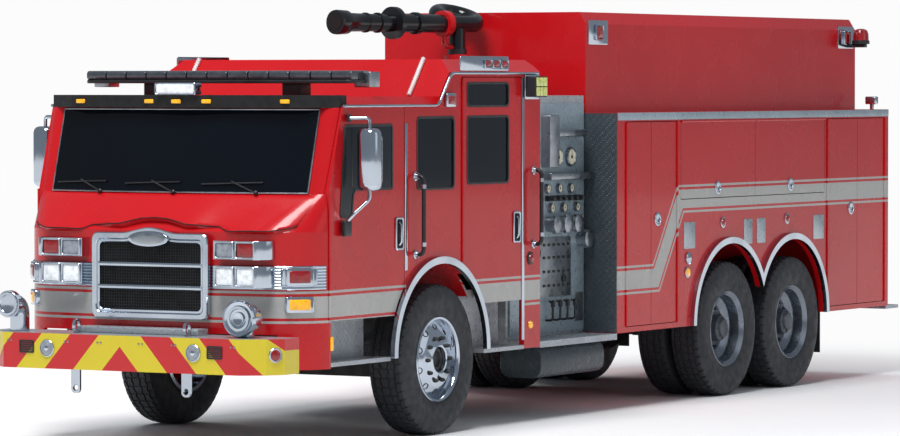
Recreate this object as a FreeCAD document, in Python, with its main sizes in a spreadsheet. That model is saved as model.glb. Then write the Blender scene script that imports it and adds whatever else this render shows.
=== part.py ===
"""Fire engine with a four-door cab, a side pump panel, a roof monitor and tandem rear axles.

Frame while modelling: X to the truck's left, Y rearward from the front axle, Z up from the ground.
Each finished piece is then set back by half the difference of the two end reaches, so that the
origin is on the ground under the middle of the truck. Lengths are in millimetres.
"""
import FreeCAD, Part
import math
import os
import re
import Sketcher

SIZES = {
    # whole vehicle
    "body_half": 1245,
    "bumper_reach": 2373,
    "tail_reach": 8286,
    "overrun": 20,
    "seat_gap": 0.3,
    # cab outline
    "cab_bottom": 573,
    "cab_wall": 45,
    "cab_rear": 1555,
    "cab_face": 1950,
    "cab_shoulder": 1900,
    "cab_shoulder_half": 860,
    "cab_corner_y": 1570,
    "cab_corner_round": 400,
    "hood_line": 1545,
    "screen_base": 1810,
    "screen_base_y": 1750,
    "screen_base_corner_y": 1600,
    "screen_base_half": 1118,
    "screen_base_side_y": 1545,
    "screen_top": 2420,
    "screen_top_y": 1540,
    "screen_top_corner_y": 1435,
    "screen_top_half": 1106,
    "screen_top_side_y": 1385,
    "pillar_round": 140,
    "low_roof": 2500,
    "low_roof_half": 1190,
    "low_roof_setback": 70,
    "high_roof": 2775,
    "high_roof_half": 1135,
    "high_roof_shoulder": 2680,
    "high_roof_foot_y": 0,
    "high_roof_top_y": 220,
    "high_roof_tail": 50,
    "cab_floor_top": 1050,
    "cab_floor_deep": 50,
    "firewall_y": 1560,
    # front arch and its wheel house
    "arch_inner_round": 660,
    "arch_trim_width": 52,
    "arch_height": 608,
    "arch_trim_proud": 35,
    "arch_trim_deep": 60,
    "arch_gap": 12,
    "house_inner_half": 560,
    "house_wall": 20,
    # cab doors and side windows
    "door_gap": 6,
    "hinge_radius": 8,
    "front_door_front": 1570,
    "front_door_rear": 517,
    "front_door_bottom": 911,
    "front_door_top": 2425,
    "front_door_top_front": 1392,
    "front_door_belt": 1823,
    "front_window_front": 1400,
    "front_window_rear": 870,
    "front_window_bottom": 1827,
    "front_window_top": 2270,
    "front_window_dip_rear": 1253,
    "front_window_dip": 1640,
    "front_window_slant": 40,
    "rear_door_front": 340,
    "rear_door_rear": 1250,
    "rear_door_bottom": 947,
    "rear_door_top": 2640,
    "rear_window_front": 416,
    "rear_window_rear": 1055,
    "rear_window_bottom": 1846,
    "rear_window_top": 2350,
    "upper_window_bottom": 2425,
    "upper_window_top": 2600,
    "fixed_window_front": 330,
    "fixed_window_rear": 220,
    "fixed_window_bottom": 1819,
    "fixed_window_top": 2348,
    "glass_deep": 6,
    "glass_inset": 8,
    "screen_frame": 60,
    "screen_glass_deep": 8,
    # engine cover, seats and dash
    "cover_half": 430,
    "cover_front": 1100,
    "cover_rear": 700,
    "cover_top": 1480,
    "cover_wall": 25,
    "seat_half": 240,
    "seat_base_high": 130,
    "seat_base_long": 480,
    "seat_stand_high": 250,
    "seat_back_deep": 110,
    "seat_back_high": 680,
    "front_seat_x": 800,
    "front_seat_y": 765,
    "rear_seat_x": 400,
    "rear_seat_y": 900,
    "dash_low": 1330,
    "dash_gap": 0.9,
    "dash_half": 1020,
    "dash_high": 1640,
    "dash_deep": 330,
    "steering_wheel_radius": 230,
    "steering_wheel_tube": 16,
    "steering_wheel_gap": 90,
    "steering_column": 30,
    # step openings under the doors
    "front_step_front": 1548,
    "front_step_rear": 700,
    "front_step_tread": 615,
    "rear_step_front": 660,
    "rear_step_rear": 1300,
    "rear_step_tread": 600,
    "step_plate": 30,
    "step_well_deep": 230,
    # bumper
    "bumper_top": 815,
    "bumper_bottom": 563,
    "bumper_half": 1230,
    "bumper_flat_half": 1000,
    "bumper_facet_half": 1150,
    "bumper_facet_back": 110,
    "bumper_side_back": 230,
    "bumper_end_back": 420,
    "bumper_plate": 50,
    "bumper_deck": 8,
    "horn_x": 430,
    "eye_x": 470,
    "eye_thick": 24,
    "eye_radius": 40,
    "eye_low": 470,
    "eye_high": 900,
    "eye_y": 2250,
    "siren_x": 770,
    "siren_y": 2130,
    "siren_z": 990,
    "siren_radius": 130,
    "siren_long": 260,
    "suction_x": 1030,
    "suction_y": 2120,
    "suction_z": 1020,
    "suction_radius": 80,
    "suction_cap": 105,
    "suction_long": 190,
    # grille and front lamps
    "grille_face": 2000,
    "grille_half": 495,
    "grille_bottom": 917,
    "grille_top": 1530,
    "grille_frame": 64,
    "grille_bar": 30,
    "grille_bars": 2,
    "badge_half": 200,
    "badge_rise": 50,
    "lamp_pod_inner": 560,
    "lamp_pod_outer": 920,
    "head_pod_centre": 1232,
    "head_pod_high": 150,
    "warn_pod_centre": 1420,
    "warn_pod_high": 130,
    "lamp_pod_face": 2020,
    "tail_lamp_x": 1050,
    "tail_lamp_z": 1150,
    "tail_lamp_high": 420,
    "tail_lamp_wide": 130,
    "tail_lamp_deep": 40,
    # visor and light bar
    "visor_half": 1232,
    "visor_bottom": 2422,
    "visor_top": 2512,
    "visor_face": 1640,
    "visor_shoulder_y": 1560,
    "visor_shoulder_half": 960,
    "visor_end_y": 1400,
    "visor_deep": 90,
    "bar_half": 1164,
    "bar_y": 1110,
    "bar_deep": 300,
    "bar_bottom": 2595,
    "bar_top": 2690,
    "bar_chamfer": 60,
    "bar_foot_wide": 150,
    "bar_foot_x": 600,
    # mirrors
    "mirror_x": 1400,
    "mirror_y": 1265,
    "mirror_radius": 88,
    "mirror_bottom": 1829,
    "mirror_top": 2278,
    "mirror_arm": 14,
    "mirror_arm_top": 2357,
    "mirror_arm_low": 1565,
    "mirror_foot": 60,
    # wheels
    "tyre_radius": 559,
    "tyre_wide": 300,
    "tyre_bead_radius": 300,
    "tyre_shoulder": 38,
    "tyre_inner_radius": 500,
    "tyre_wall": 24,
    "tyre_bead_wide": 30,
    "tyre_bead_deep": 45,
    "rim_wide": 292,
    "twin_rim_wide": 256,
    "rim_radius": 318,
    "rim_flange": 12,
    "rim_barrel": 285,
    "rim_wall": 12,
    "disc_radius": 235,
    "front_disc_out": 90,
    "twin_tyre_wide": 280,
    "twin_gap": 30,
    "rear_axle_one": 4841,
    "rear_axle_two": 6086,
    "rear_arch_two": 6040,
    "hub_radius": 125,
    "kingpin_x": 970,
    "kingpin_radius": 32,
    "kingpin_high": 230,
    "spindle_radius": 50,
    "drum_radius": 215,
    "drum_deep": 110,
    "bearing_gap": 0.3,
    "running_gap": 6,
    # frame, engine, axles
    "rail_x": 430,
    "rail_wide": 80,
    "rail_web": 10,
    "rail_top": 970,
    "rail_bottom": 720,
    "rail_front": 1860,
    "rail_rear": 8030,
    "cross_wide": 120,
    "engine_half": 340,
    "engine_front": 950,
    "engine_rear": 500,
    "engine_bottom": 760,
    "engine_top": 1420,
    "gearbox_radius": 190,
    "gearbox_long": 800,
    "shaft_radius": 60,
    "front_beam_high": 110,
    "front_beam_deep": 120,
    "front_beam_z": 470,
    "spring_wide": 90,
    "spring_high": 60,
    "spring_long": 1300,
    "axle_tube": 75,
    "banjo_radius": 215,
    # pump house
    "pump_half": 943,
    "pump_rear": 2833,
    "pump_top": 2500,
    "board_top": 613,
    "board_deep": 48,
    "panel_front": 1620,
    "panel_rear": 2560,
    "panel_bottom": 1020,
    "panel_top": 2330,
    "panel_thick": 12,
    "outlet_radius": 55,
    "outlet_long": 130,
    "outlet_z": 1560,
    "big_gauge_radius": 75,
    "small_gauge_radius": 42,
    "gauge_deep": 25,
    "gauge_z": 2060,
    # rear body
    "body_rear": 8060,
    "body_inner": 610,
    "body_bottom": 613,
    "body_top": 2364,
    "body_wall": 45,
    "door_bottom": 661,
    "door_top": 2286,
    "front_bay_front": 2987,
    "front_bay_split": 3423,
    "front_bay_rear": 3886,
    "middle_bay_front": 3958,
    "middle_bay_split": 5339,
    "middle_bay_rear": 6710,
    "middle_bay_bottom": 1655,
    "rear_bay_front": 6771,
    "rear_bay_split": 7396,
    "rear_bay_rear": 7974,
    "well_front": 3970,
    "well_rear": 6730,
    "well_top": 1590,
    "tailboard_deep": 30,
    # tank
    "tank_half": 927,
    "tank_front": 2897,
    "tank_rear": 8040,
    "tank_edge": 3130,
    "tank_top": 3165,
    "tank_bevel": 60,
    "tank_low_half": 590,
    # monitor
    "post_y": 2460,
    "post_radius": 75,
    "post_top": 2870,
    "barrel_z": 3070,
    "barrel_radius": 69,
    "barrel_long": 1326,
    "mouth_radius": 95,
    "mouth_long": 130,
    "flange_radius": 130,
    "flange_reach": 630,
    "loop_back": 320,
    "loop_top": 3170,
    # mud flaps and rails
    "flap_bottom": 261,
    "flap_top": 720,
    "flap_wide": 580,
    "flap_thick": 12,
    "rail_tube": 16,
    "rail_stand": 74,
    "front_rail_y": 358,
    "front_rail_bottom": 1345,
    "front_rail_top": 1918,
    "rear_rail_y": 1443,
    "rear_rail_bottom": 1366,
    "rear_rail_top": 1932,
}

doc = FreeCAD.newDocument("FireEngine")
sheet = doc.addObject("Spreadsheet::Sheet", "Dims")
for row, (alias, value) in enumerate(SIZES.items(), start=1):
    sheet.set("A%d" % row, alias)
    sheet.set("B%d" % row, str(value))
    sheet.setAlias("B%d" % row, alias)
doc.recompute()

WORD = re.compile(r"[a-z][a-z_]+")
ORIGIN = FreeCAD.Vector(0, 0, 0)
AXES = {"x": FreeCAD.Vector(1, 0, 0), "y": FreeCAD.Vector(0, 1, 0), "z": FreeCAD.Vector(0, 0, 1)}
PLANES = {"side": "YZ_Plane", "front": "XZ_Plane", "plan": "XY_Plane"}
nodes = []


def bound(text):
    """The same sum with each size name pointed at its cell of the sheet."""
    return WORD.sub(lambda word: "Dims." + word[0] if word[0] in SIZES else word[0], str(text))


def number(text):
    """The present value of a sum of size names."""
    return float(sheet.evalExpression(bound(text)))


def place(piece, x="0", y="0", z="0"):
    """Bind the three coordinates of a piece's Placement."""
    for axis, text in zip("xyz", (x, y, z)):
        piece.setExpression("Placement.Base." + axis, bound(text))
    return piece


def box(label, low, high):
    """A block between two opposite corners, each given as three sums."""
    block = doc.addObject("Part::Box", label)
    for size, a, b in zip(("Length", "Width", "Height"), low, high):
        block.setExpression(size, bound("(%s) - (%s)" % (b, a)))
    return place(block, *low)


def rod(label, axis, start, radius, length):
    """A round bar that runs from a start point along an axis."""
    bar = doc.addObject("Part::Cylinder", label)
    bar.Placement = FreeCAD.Placement(ORIGIN, FreeCAD.Rotation(AXES["z"], AXES[axis]))
    bar.setExpression("Radius", bound(radius))
    bar.setExpression("Height", bound(length))
    return place(bar, *start)


def bore(label, axis, centre, radius, half):
    """A round bar laid evenly about its centre along an axis."""
    start = [c if a != axis else "(%s) - (%s)" % (c, half) for a, c in zip("xyz", centre)]
    return rod(label, axis, start, radius, "2 * (%s)" % half)


def outline(body, label, plane, offset, stops):
    """A closed sketch. Each stop is (u, v), or (u, v, radius, turn) where an arc leads to the next stop."""
    sketch = body.newObject("Sketcher::SketchObject", label)
    role = PLANES[plane]
    sketch.AttachmentSupport = [(f, "") for f in body.Origin.OriginFeatures if f.Role == role]
    sketch.MapMode = "FlatFace"
    sketch.setExpression("AttachmentOffset.Base.z", bound(offset))
    points = [FreeCAD.Vector(number(stop[0]), number(stop[1]), 0) for stop in stops]
    for index, stop in enumerate(stops):
        start, end = points[index], points[(index + 1) % len(points)]
        if len(stop) == 2:
            sketch.addGeometry(Part.LineSegment(start, end), False)
        else:
            sketch.addGeometry(arc_between(start, end, number(stop[2]), stop[3]), False)
    for index, stop in enumerate(stops):
        follow = (index + 1) % len(stops)
        first = 1 if len(stop) == 2 or stop[3] > 0 else 2
        after = stops[follow]
        second = 1 if len(after) == 2 or after[3] > 0 else 2
        sketch.addConstraint(Sketcher.Constraint("Coincident", index, 3 - first, follow, second))
        for kind, letter, text in (("DistanceX", "u", stop[0]), ("DistanceY", "v", stop[1])):
            value = number(text)
            which = sketch.addConstraint(Sketcher.Constraint(kind, -1, 1, index, first, value))
            bind_constraint(sketch, which, "%s%d" % (letter, index), text)
        if len(stop) > 2:
            which = sketch.addConstraint(Sketcher.Constraint("Radius", index, number(stop[2])))
            bind_constraint(sketch, which, "round%d" % index, stop[2])
    return sketch


def bind_constraint(sketch, which, name, text):
    """Name a constraint and bind its value."""
    sketch.renameConstraint(which, name)
    sketch.setExpression("Constraints." + name, bound(text))


def arc_between(start, end, radius, turn):
    """The short arc from start to end. A positive turn goes anticlockwise."""
    middle = (start + end) * 0.5
    chord = end - start
    rise = math.sqrt(max(radius ** 2 - (chord.Length / 2) ** 2, 0))
    normal = FreeCAD.Vector(-chord.y, chord.x, 0).normalize()
    centre = middle + normal * rise * turn
    first, last = (start, end) if turn > 0 else (end, start)
    angles = [math.atan2(p.y - centre.y, p.x - centre.x) for p in (first, last)]
    circle = Part.Circle(centre, FreeCAD.Vector(0, 0, 1), radius)
    return Part.ArcOfCircle(circle, angles[0], angles[1])


def slab(label, plane, offset, thick, stops):
    """A plate: an outline on a plane at an offset, given thickness along that plane's normal.

    The normals are +X for side, -Y for front and +Z for plan outlines.
    """
    body = doc.addObject("PartDesign::Body", label)
    sketch = outline(body, label + "_outline", plane, offset, stops)
    pad = body.newObject("PartDesign::Pad", label + "_pad")
    pad.Profile = sketch
    pad.setExpression("Length", bound(thick))
    return body


def lathe(label, plane, axis, stops):
    """A turned piece: an outline spun about the sketch's horizontal or vertical axis."""
    body = doc.addObject("PartDesign::Body", label)
    sketch = outline(body, label + "_outline", plane, "0", stops)
    turn = body.newObject("PartDesign::Revolution", label + "_turn")
    turn.Profile = sketch
    turn.ReferenceAxis = (sketch, [axis])
    turn.Angle = 360
    return body


def loft(label, sections):
    """A ruled body through plan outlines, each given as (height, stops)."""
    body = doc.addObject("PartDesign::Body", label)
    rings = [outline(body, "%s_ring%d" % (label, i), "plan", height, stops)
             for i, (height, stops) in enumerate(sections)]
    skin = body.newObject("PartDesign::AdditiveLoft", label + "_skin")
    skin.Profile = rings[0]
    skin.Sections = rings[1:]
    skin.Ruled = True
    return body


def cut(label, base, *tools):
    """The base less every tool."""
    tool = tools[0] if len(tools) == 1 else fuse(label + "_tools", *tools)
    result = doc.addObject("Part::Cut", label)
    result.Base = base
    result.Tool = tool
    return result


def fuse(label, *pieces):
    """The pieces as one."""
    result = doc.addObject("Part::MultiFuse", label)
    result.Shapes = list(pieces)
    return result


def common(label, one, two):
    """What both pieces share."""
    result = doc.addObject("Part::Common", label)
    result.Base = one
    result.Tool = two
    return result


def group(label, *pieces):
    """Separate solids that share a node."""
    result = doc.addObject("Part::Compound", label)
    result.Links = list(pieces)
    return result


def mirrored(label, piece):
    """The same piece on the truck's other side."""
    result = doc.addObject("Part::Mirroring", label)
    result.Source = piece
    result.Normal = AXES["x"]
    return result


def publish(name, piece):
    """Give a finished piece its node name and set it back to the truck's own frame."""
    frame = doc.addObject("Part::Compound", name + "_node")
    frame.Links = [piece]
    frame.Label = name
    place(frame, y="(bumper_reach - tail_reach) / 2")
    nodes.append(frame)
    return frame


def both_sides(name, piece):
    """A left node and its mirrored right node."""
    publish(name + "_left", piece)
    publish(name + "_right", mirrored(name + "_mirror", piece))


# Cab shell

def cab_rings(side, face, low):
    """Plan outlines of the cab from a lower level up to the low roof, drawn in from the outside.

    side is the inset at the walls and face the inset at the front.
    """
    def ring(half, side_y, corner_half, corner_y, face_y, corner_round):
        sagitta = "((%s) - (%s))" % (face_y, corner_y)
        chord = "(%s - %s)" % (corner_half, side)
        bow = "(%s * %s + %s * %s) / (2 * %s)" % (chord, chord, sagitta, sagitta, sagitta)
        rear = "cab_rear - (%s)" % side
        wide = "%s - %s" % (half, side)
        return [
            (wide, rear),
            ("-(%s)" % wide, rear),
            ("-(%s)" % wide, "-(%s) + %s" % (side_y, face), corner_round, 1),
            ("-%s" % chord, "-(%s) + %s" % (corner_y, face), bow, 1),
            (chord, "-(%s) + %s" % (corner_y, face), corner_round, 1),
            (wide, "-(%s) + %s" % (side_y, face)),
        ]

    lower = ring("body_half", "cab_corner_y", "cab_shoulder_half", "cab_shoulder", "cab_face",
                 "cab_corner_round - %s" % face)
    base = ring("body_half", "screen_base_side_y", "screen_base_half", "screen_base_corner_y",
                "screen_base_y", "pillar_round")
    top = ring("body_half", "screen_top_side_y", "screen_top_half", "screen_top_corner_y",
               "screen_top_y", "pillar_round")
    roof = ring("low_roof_half", "screen_top_side_y - low_roof_setback", "screen_top_half - low_roof_setback",
                "screen_top_corner_y - low_roof_setback", "screen_top_y - low_roof_setback", "pillar_round")
    return [(low, lower), ("hood_line", lower), ("screen_base", base), ("screen_top", top),
            ("low_roof - (%s)" % side, roof)]


def high_roof_block(label, inset):
    """The raised roof over the rear seats: its side view crossed with its front view."""
    side_view = slab(label + "_side", "side", "-body_half", "2 * body_half", [
        ("high_roof_foot_y + %s" % inset, "screen_top"),
        ("cab_rear - %s" % inset, "screen_top"),
        ("cab_rear - %s" % inset, "high_roof - high_roof_tail - %s" % inset),
        ("cab_rear - high_roof_tail - %s" % inset, "high_roof - %s" % inset),
        ("high_roof_top_y + %s" % inset, "high_roof - %s" % inset),
        ("high_roof_foot_y + %s" % inset, "low_roof - %s" % inset),
    ])
    front_view = slab(label + "_front", "front", "-cab_rear", "cab_rear + overrun", [
        ("-(body_half - %s)" % inset, "screen_top"),
        ("body_half - %s" % inset, "screen_top"),
        ("body_half - %s" % inset, "high_roof_shoulder - %s" % inset),
        ("high_roof_half - %s" % inset, "high_roof - %s" % inset),
        ("-(high_roof_half - %s)" % inset, "high_roof - %s" % inset),
        ("-(body_half - %s)" % inset, "high_roof_shoulder - %s" % inset),
    ])
    return common(label, side_view, front_view)


def door_stops(kind, grow):
    """The outline of a cab door seen from the side, grown all round by a gap."""
    if kind == "front":
        return [
            ("-front_door_front - %s" % grow, "front_door_bottom - %s" % grow),
            ("-front_door_rear + %s" % grow, "front_door_bottom - %s" % grow),
            ("-front_door_rear + %s" % grow, "front_door_top + %s" % grow),
            ("-front_door_top_front - %s" % grow, "front_door_top + %s" % grow),
            ("-front_door_front - %s" % grow, "front_door_belt"),
        ]
    return [
        ("rear_door_front - %s" % grow, "rear_door_bottom - %s" % grow),
        ("rear_door_rear + %s" % grow, "rear_door_bottom - %s" % grow),
        ("rear_door_rear + %s" % grow, "rear_door_top + %s" % grow),
        ("rear_door_front - %s" % grow, "rear_door_top + %s" % grow),
    ]


def front_window_stops(shrink):
    """The front door's window, with its front part dipping below the belt."""
    return [
        ("-front_window_rear - %s" % shrink, "front_window_bottom + %s" % shrink),
        ("-front_window_rear - %s" % shrink, "front_window_top - %s" % shrink),
        ("-front_window_front + front_window_slant + %s" % shrink, "front_window_top - %s" % shrink),
        ("-front_window_front + %s" % shrink, "front_window_bottom"),
        ("-front_window_front + %s" % shrink, "front_window_dip + %s" % shrink),
        ("-front_window_dip_rear - front_window_slant - %s" % shrink, "front_window_dip + %s" % shrink),
        ("-front_window_dip_rear - %s" % shrink, "front_window_bottom + %s" % shrink),
    ]


def through_wall(label, stops):
    """A cutter that goes through the left cab wall."""
    return slab(label, "side", "body_half - cab_wall - overrun", "cab_wall + 2 * overrun", stops)


def window_box(label, front, rear, bottom, top, shrink, inner, outer):
    """A rectangular window or its pane in the left wall, between two depths."""
    return box(label, (inner, "%s + %s" % (front, shrink), "%s + %s" % (bottom, shrink)),
               (outer, "%s - %s" % (rear, shrink), "%s - %s" % (top, shrink)))


WALL_CUT = ("body_half - cab_wall - overrun", "body_half + overrun")
PANE = ("body_half - glass_inset - glass_deep", "body_half - glass_inset")


def arch_bore(label, radius, inner, outer, centre_y="0"):
    """A round cutter about a wheel arch's centre between two depths."""
    return rod(label, "x", (inner, centre_y, "arch_height"), radius, "(%s) - (%s)" % (outer, inner))


def make_cab_shell():
    outer = fuse("cab_outer", loft("cab_skin", cab_rings("0", "0", "cab_bottom")),
                 high_roof_block("cab_high_roof", "0"))
    inner = fuse("cab_inner", loft("cab_room", cab_rings("cab_wall", "cab_wall", "cab_floor_top")),
                 high_roof_block("cab_high_room", "cab_wall"))
    cover = box("cover_block", ("-cover_half", "-cover_front", "cab_floor_top - overrun"),
                ("cover_half", "cover_rear", "cover_top"))
    house = arch_bore("house_block", "arch_inner_round + house_wall", "house_inner_half - house_wall",
                      "body_half")
    room = cut("cab_room_clear", inner, cover, house, mirrored("house_block_right", house))
    lower_ring = cab_rings("cab_wall", "cab_wall", "cab_bottom")[0][1]
    under = fuse("cab_under",
                 loft("cab_under_front", [("cab_bottom - overrun", lower_ring),
                                          ("cab_floor_top - cab_floor_deep", lower_ring)]),
                 box("cab_under_rear", ("-body_half + cab_wall", "0", "cab_bottom - overrun"),
                     ("body_half - cab_wall", "cab_rear + overrun", "cab_floor_top - cab_floor_deep")))
    cover_space = box("cover_space", ("-cover_half + cover_wall", "-cover_front + cover_wall",
                                      "cab_bottom"),
                      ("cover_half - cover_wall", "cover_rear - cover_wall", "cover_top - cover_wall"))
    well = arch_bore("well_bore", "arch_inner_round", "house_inner_half", "body_half + overrun")
    openings = [
        well,
        through_wall("front_door_hole", door_stops("front", "door_gap")),
        through_wall("rear_door_hole", door_stops("rear", "door_gap")),
        window_box("fixed_window_hole", "-fixed_window_front", "fixed_window_rear",
                   "fixed_window_bottom", "fixed_window_top", "0", *WALL_CUT),
        box("front_step_hole", ("body_half - cab_wall - overrun", "-front_step_front",
                                "cab_bottom - overrun"),
            ("body_half + overrun", "0", "front_door_bottom")),
        box("rear_step_hole", ("body_half - cab_wall - overrun", "0", "cab_bottom - overrun"),
            ("body_half + overrun", "rear_step_rear", "rear_door_bottom")),
    ]
    screen = slab("screen_hole", "front", "cab_shoulder / 2", "cab_shoulder", [
        ("-screen_base_half + screen_frame / 2", "screen_base + screen_frame / 2"),
        ("screen_base_half - screen_frame / 2", "screen_base + screen_frame / 2"),
        ("screen_top_half - screen_frame / 2", "screen_top - screen_frame / 2"),
        ("-screen_top_half + screen_frame / 2", "screen_top - screen_frame / 2"),
    ])
    front_gap = box("cab_front_gap", ("-bumper_flat_half", "-cab_face - overrun", "cab_bottom - overrun"),
                    ("bumper_flat_half", "-firewall_y", "bumper_top + running_gap"))
    left = cut("cab_left_cut", cut("cab_hollow", outer, room, under, cover_space, front_gap), *openings)
    right_cuts = [mirrored("cab_right_cut%d" % i, piece) for i, piece in enumerate(openings)]
    publish("cab_shell", cut("cab_shell_cut", left, screen, *right_cuts))


def make_cab_glass():
    """The windscreen follows the cab's front, and the fixed panes sit in the walls."""
    front = loft("screen_front", cab_rings("glass_inset", "glass_inset", "cab_floor_top"))
    behind = loft("screen_behind", cab_rings("glass_inset + screen_glass_deep",
                                             "glass_inset + screen_glass_deep", "cab_floor_top - overrun"))
    frame = slab("screen_pane", "front", "cab_shoulder / 2", "cab_shoulder", [
        ("-screen_base_half + screen_frame / 2", "screen_base + screen_frame / 2"),
        ("screen_base_half - screen_frame / 2", "screen_base + screen_frame / 2"),
        ("screen_top_half - screen_frame / 2", "screen_top - screen_frame / 2"),
        ("-screen_top_half + screen_frame / 2", "screen_top - screen_frame / 2"),
    ])
    pane = common("windscreen", cut("screen_skin", front, behind), frame)
    fixed = window_box("fixed_pane", "-fixed_window_front", "fixed_window_rear", "fixed_window_bottom",
                       "fixed_window_top", "0", *PANE)
    publish("cab_glass", group("cab_glass_panes", pane, fixed, mirrored("fixed_pane_right", fixed)))


def hinge(label, axis, start, length):
    """A long hinge barrel on a door's edge; it clears the frame beyond the door gap by the seat gap."""
    proud = "sqrt((hinge_radius + seat_gap)^2 - door_gap^2)"
    return rod(label, axis, ("body_half + " + proud,) + start, "hinge_radius", length)


def make_cab_doors():
    """Four doors, each as thick as the cab wall, cut clear of the arch and of their windows."""
    for kind in ("front", "rear"):
        leaf = slab(kind + "_door_leaf", "side", "body_half - cab_wall", "cab_wall", door_stops(kind, "0"))
        arch = arch_bore(kind + "_door_arch", "arch_inner_round + arch_trim_width + arch_gap",
                         "body_half - cab_wall - overrun", "body_half + overrun")
        if kind == "front":
            holes = [through_wall("front_window_hole", front_window_stops("0"))]
            panes = [slab("front_door_pane", "side", PANE[0], "glass_deep", front_window_stops("0"))]
        else:
            holes = [window_box("rear_window_hole", "rear_window_front", "rear_window_rear",
                                "rear_window_bottom", "rear_window_top", "0", *WALL_CUT),
                     window_box("upper_window_hole", "rear_window_front", "rear_window_rear",
                                "upper_window_bottom", "upper_window_top", "0", *WALL_CUT)]
            panes = [window_box("rear_door_pane", "rear_window_front", "rear_window_rear",
                                "rear_window_bottom", "rear_window_top", "0", *PANE),
                     window_box("upper_door_pane", "rear_window_front", "rear_window_rear",
                                "upper_window_bottom", "upper_window_top", "0", *PANE)]
        foot = "front_door_bottom" if kind == "front" else "arch_height + arch_inner_round"
        head = "front_door_belt" if kind == "front" else "rear_door_top"
        edge = "-front_door_front" if kind == "front" else "rear_door_front"
        barrel = hinge(kind + "_door_hinge", "z", (edge, foot), "%s - (%s)" % (head, foot))
        both_sides("door_" + kind, fuse(kind + "_door_whole", cut(kind + "_door_cut", leaf, arch, *holes), barrel))
        both_sides("door_glass_" + kind, group(kind + "_door_panes", *panes))


def seat(label, centre_x, front_y):
    """A seat on its stand, facing forward, from the front edge of its cushion."""
    left = "%s - seat_half" % centre_x
    right = "%s + seat_half" % centre_x
    floor = "cab_floor_top"
    base = "%s + seat_stand_high" % floor
    cushion_top = "%s + seat_base_high" % base
    rear = "%s + seat_base_long" % front_y
    return fuse(label,
                box(label + "_stand", ("%s + seat_back_deep" % left, "%s + seat_back_deep" % front_y, floor),
                    ("%s - seat_back_deep" % right, rear, base)),
                box(label + "_cushion", (left, front_y, base), (right, rear, cushion_top)),
                box(label + "_back", (left, "%s - seat_back_deep" % rear, base),
                    (right, rear, "%s + seat_back_high" % cushion_top)))


def make_cab_interior():
    front_left = seat("driver_seat", "front_seat_x", "-front_seat_y - seat_base_long / 2")
    rear_left = seat("crew_seat", "rear_seat_x", "rear_seat_y")
    dash_block = box("dash_block", ("-dash_half", "-cab_face", "dash_low"),
                     ("dash_half", "-firewall_y + dash_deep", "dash_high"))
    inside = loft("dash_room", cab_rings("cab_wall + dash_gap", "cab_wall + dash_gap", "cab_floor_top"))
    dash = common("dash_board", dash_block, inside)
    wheel = doc.addObject("Part::Torus", "steering_ring")
    wheel.setExpression("Radius1", bound("steering_wheel_radius"))
    wheel.setExpression("Radius2", bound("steering_wheel_tube"))
    wheel.Placement = FreeCAD.Placement(ORIGIN, FreeCAD.Rotation(AXES["z"], AXES["y"]))
    place(wheel, "front_seat_x", "-firewall_y + dash_deep + steering_wheel_gap", "dash_high - steering_column")
    column = rod("steering_column_rod", "y", ("front_seat_x", "-firewall_y + dash_deep - overrun",
                                              "dash_high - steering_column"),
                 "steering_column", "steering_wheel_gap + overrun + steering_wheel_tube")
    spoke = box("steering_spoke", ("front_seat_x - steering_wheel_radius",
                                   "-firewall_y + dash_deep + steering_wheel_gap - steering_wheel_tube / 2",
                                   "dash_high - 2 * steering_column"),
                ("front_seat_x + steering_wheel_radius",
                 "-firewall_y + dash_deep + steering_wheel_gap + steering_wheel_tube / 2", "dash_high"))
    publish("cab_interior", group("cab_interior_pieces", front_left,
                                  mirrored("crew_chief_seat", front_left), rear_left,
                                  mirrored("crew_seat_right", rear_left),
                                  fuse("dash_set", dash, wheel, column, spoke)))


# Front end

def bumper_stops(inset):
    """The bumper's plan outline, from its left end round the front to its right end and back inside."""
    left = [
        ("bumper_half", "-bumper_reach + bumper_end_back"),
        ("bumper_half", "-bumper_reach + bumper_side_back"),
        ("bumper_facet_half", "-bumper_reach + bumper_facet_back"),
        ("bumper_flat_half", "-bumper_reach"),
    ]
    inner = [
        ("bumper_flat_half - bumper_plate / 2", "-bumper_reach + bumper_plate"),
        ("bumper_facet_half - bumper_plate", "-bumper_reach + bumper_facet_back + bumper_plate / 2"),
        ("bumper_half - bumper_plate", "-bumper_reach + bumper_side_back + bumper_plate / 4"),
        ("bumper_half - bumper_plate", "-bumper_reach + bumper_end_back"),
    ]
    outer_right = [("-(%s)" % u, v) for u, v in reversed(left)]
    inner_right = [("-(%s)" % u, v) for u, v in reversed(inner)]
    return left + outer_right + inner_right + inner if inset else left + outer_right


def make_bumper():
    skirt = slab("bumper_skirt", "plan", "bumper_bottom", "bumper_top - bumper_bottom", bumper_stops(True))
    deck = slab("bumper_deck_plate", "plan", "bumper_top - bumper_deck", "bumper_deck", bumper_stops(False))
    horns = [box("bumper_horn%d" % i, ("%s * horn_x - rail_wide / 2" % sign,
                                       "-bumper_reach + bumper_plate / 2", "bumper_bottom + bumper_plate"),
                 ("%s * horn_x + rail_wide / 2" % sign, "-rail_front - seat_gap",
                  "bumper_top - bumper_deck / 2"))
             for i, sign in enumerate(("1", "-1"))]
    publish("bumper", fuse("bumper_whole", skirt, deck, *horns))


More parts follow.
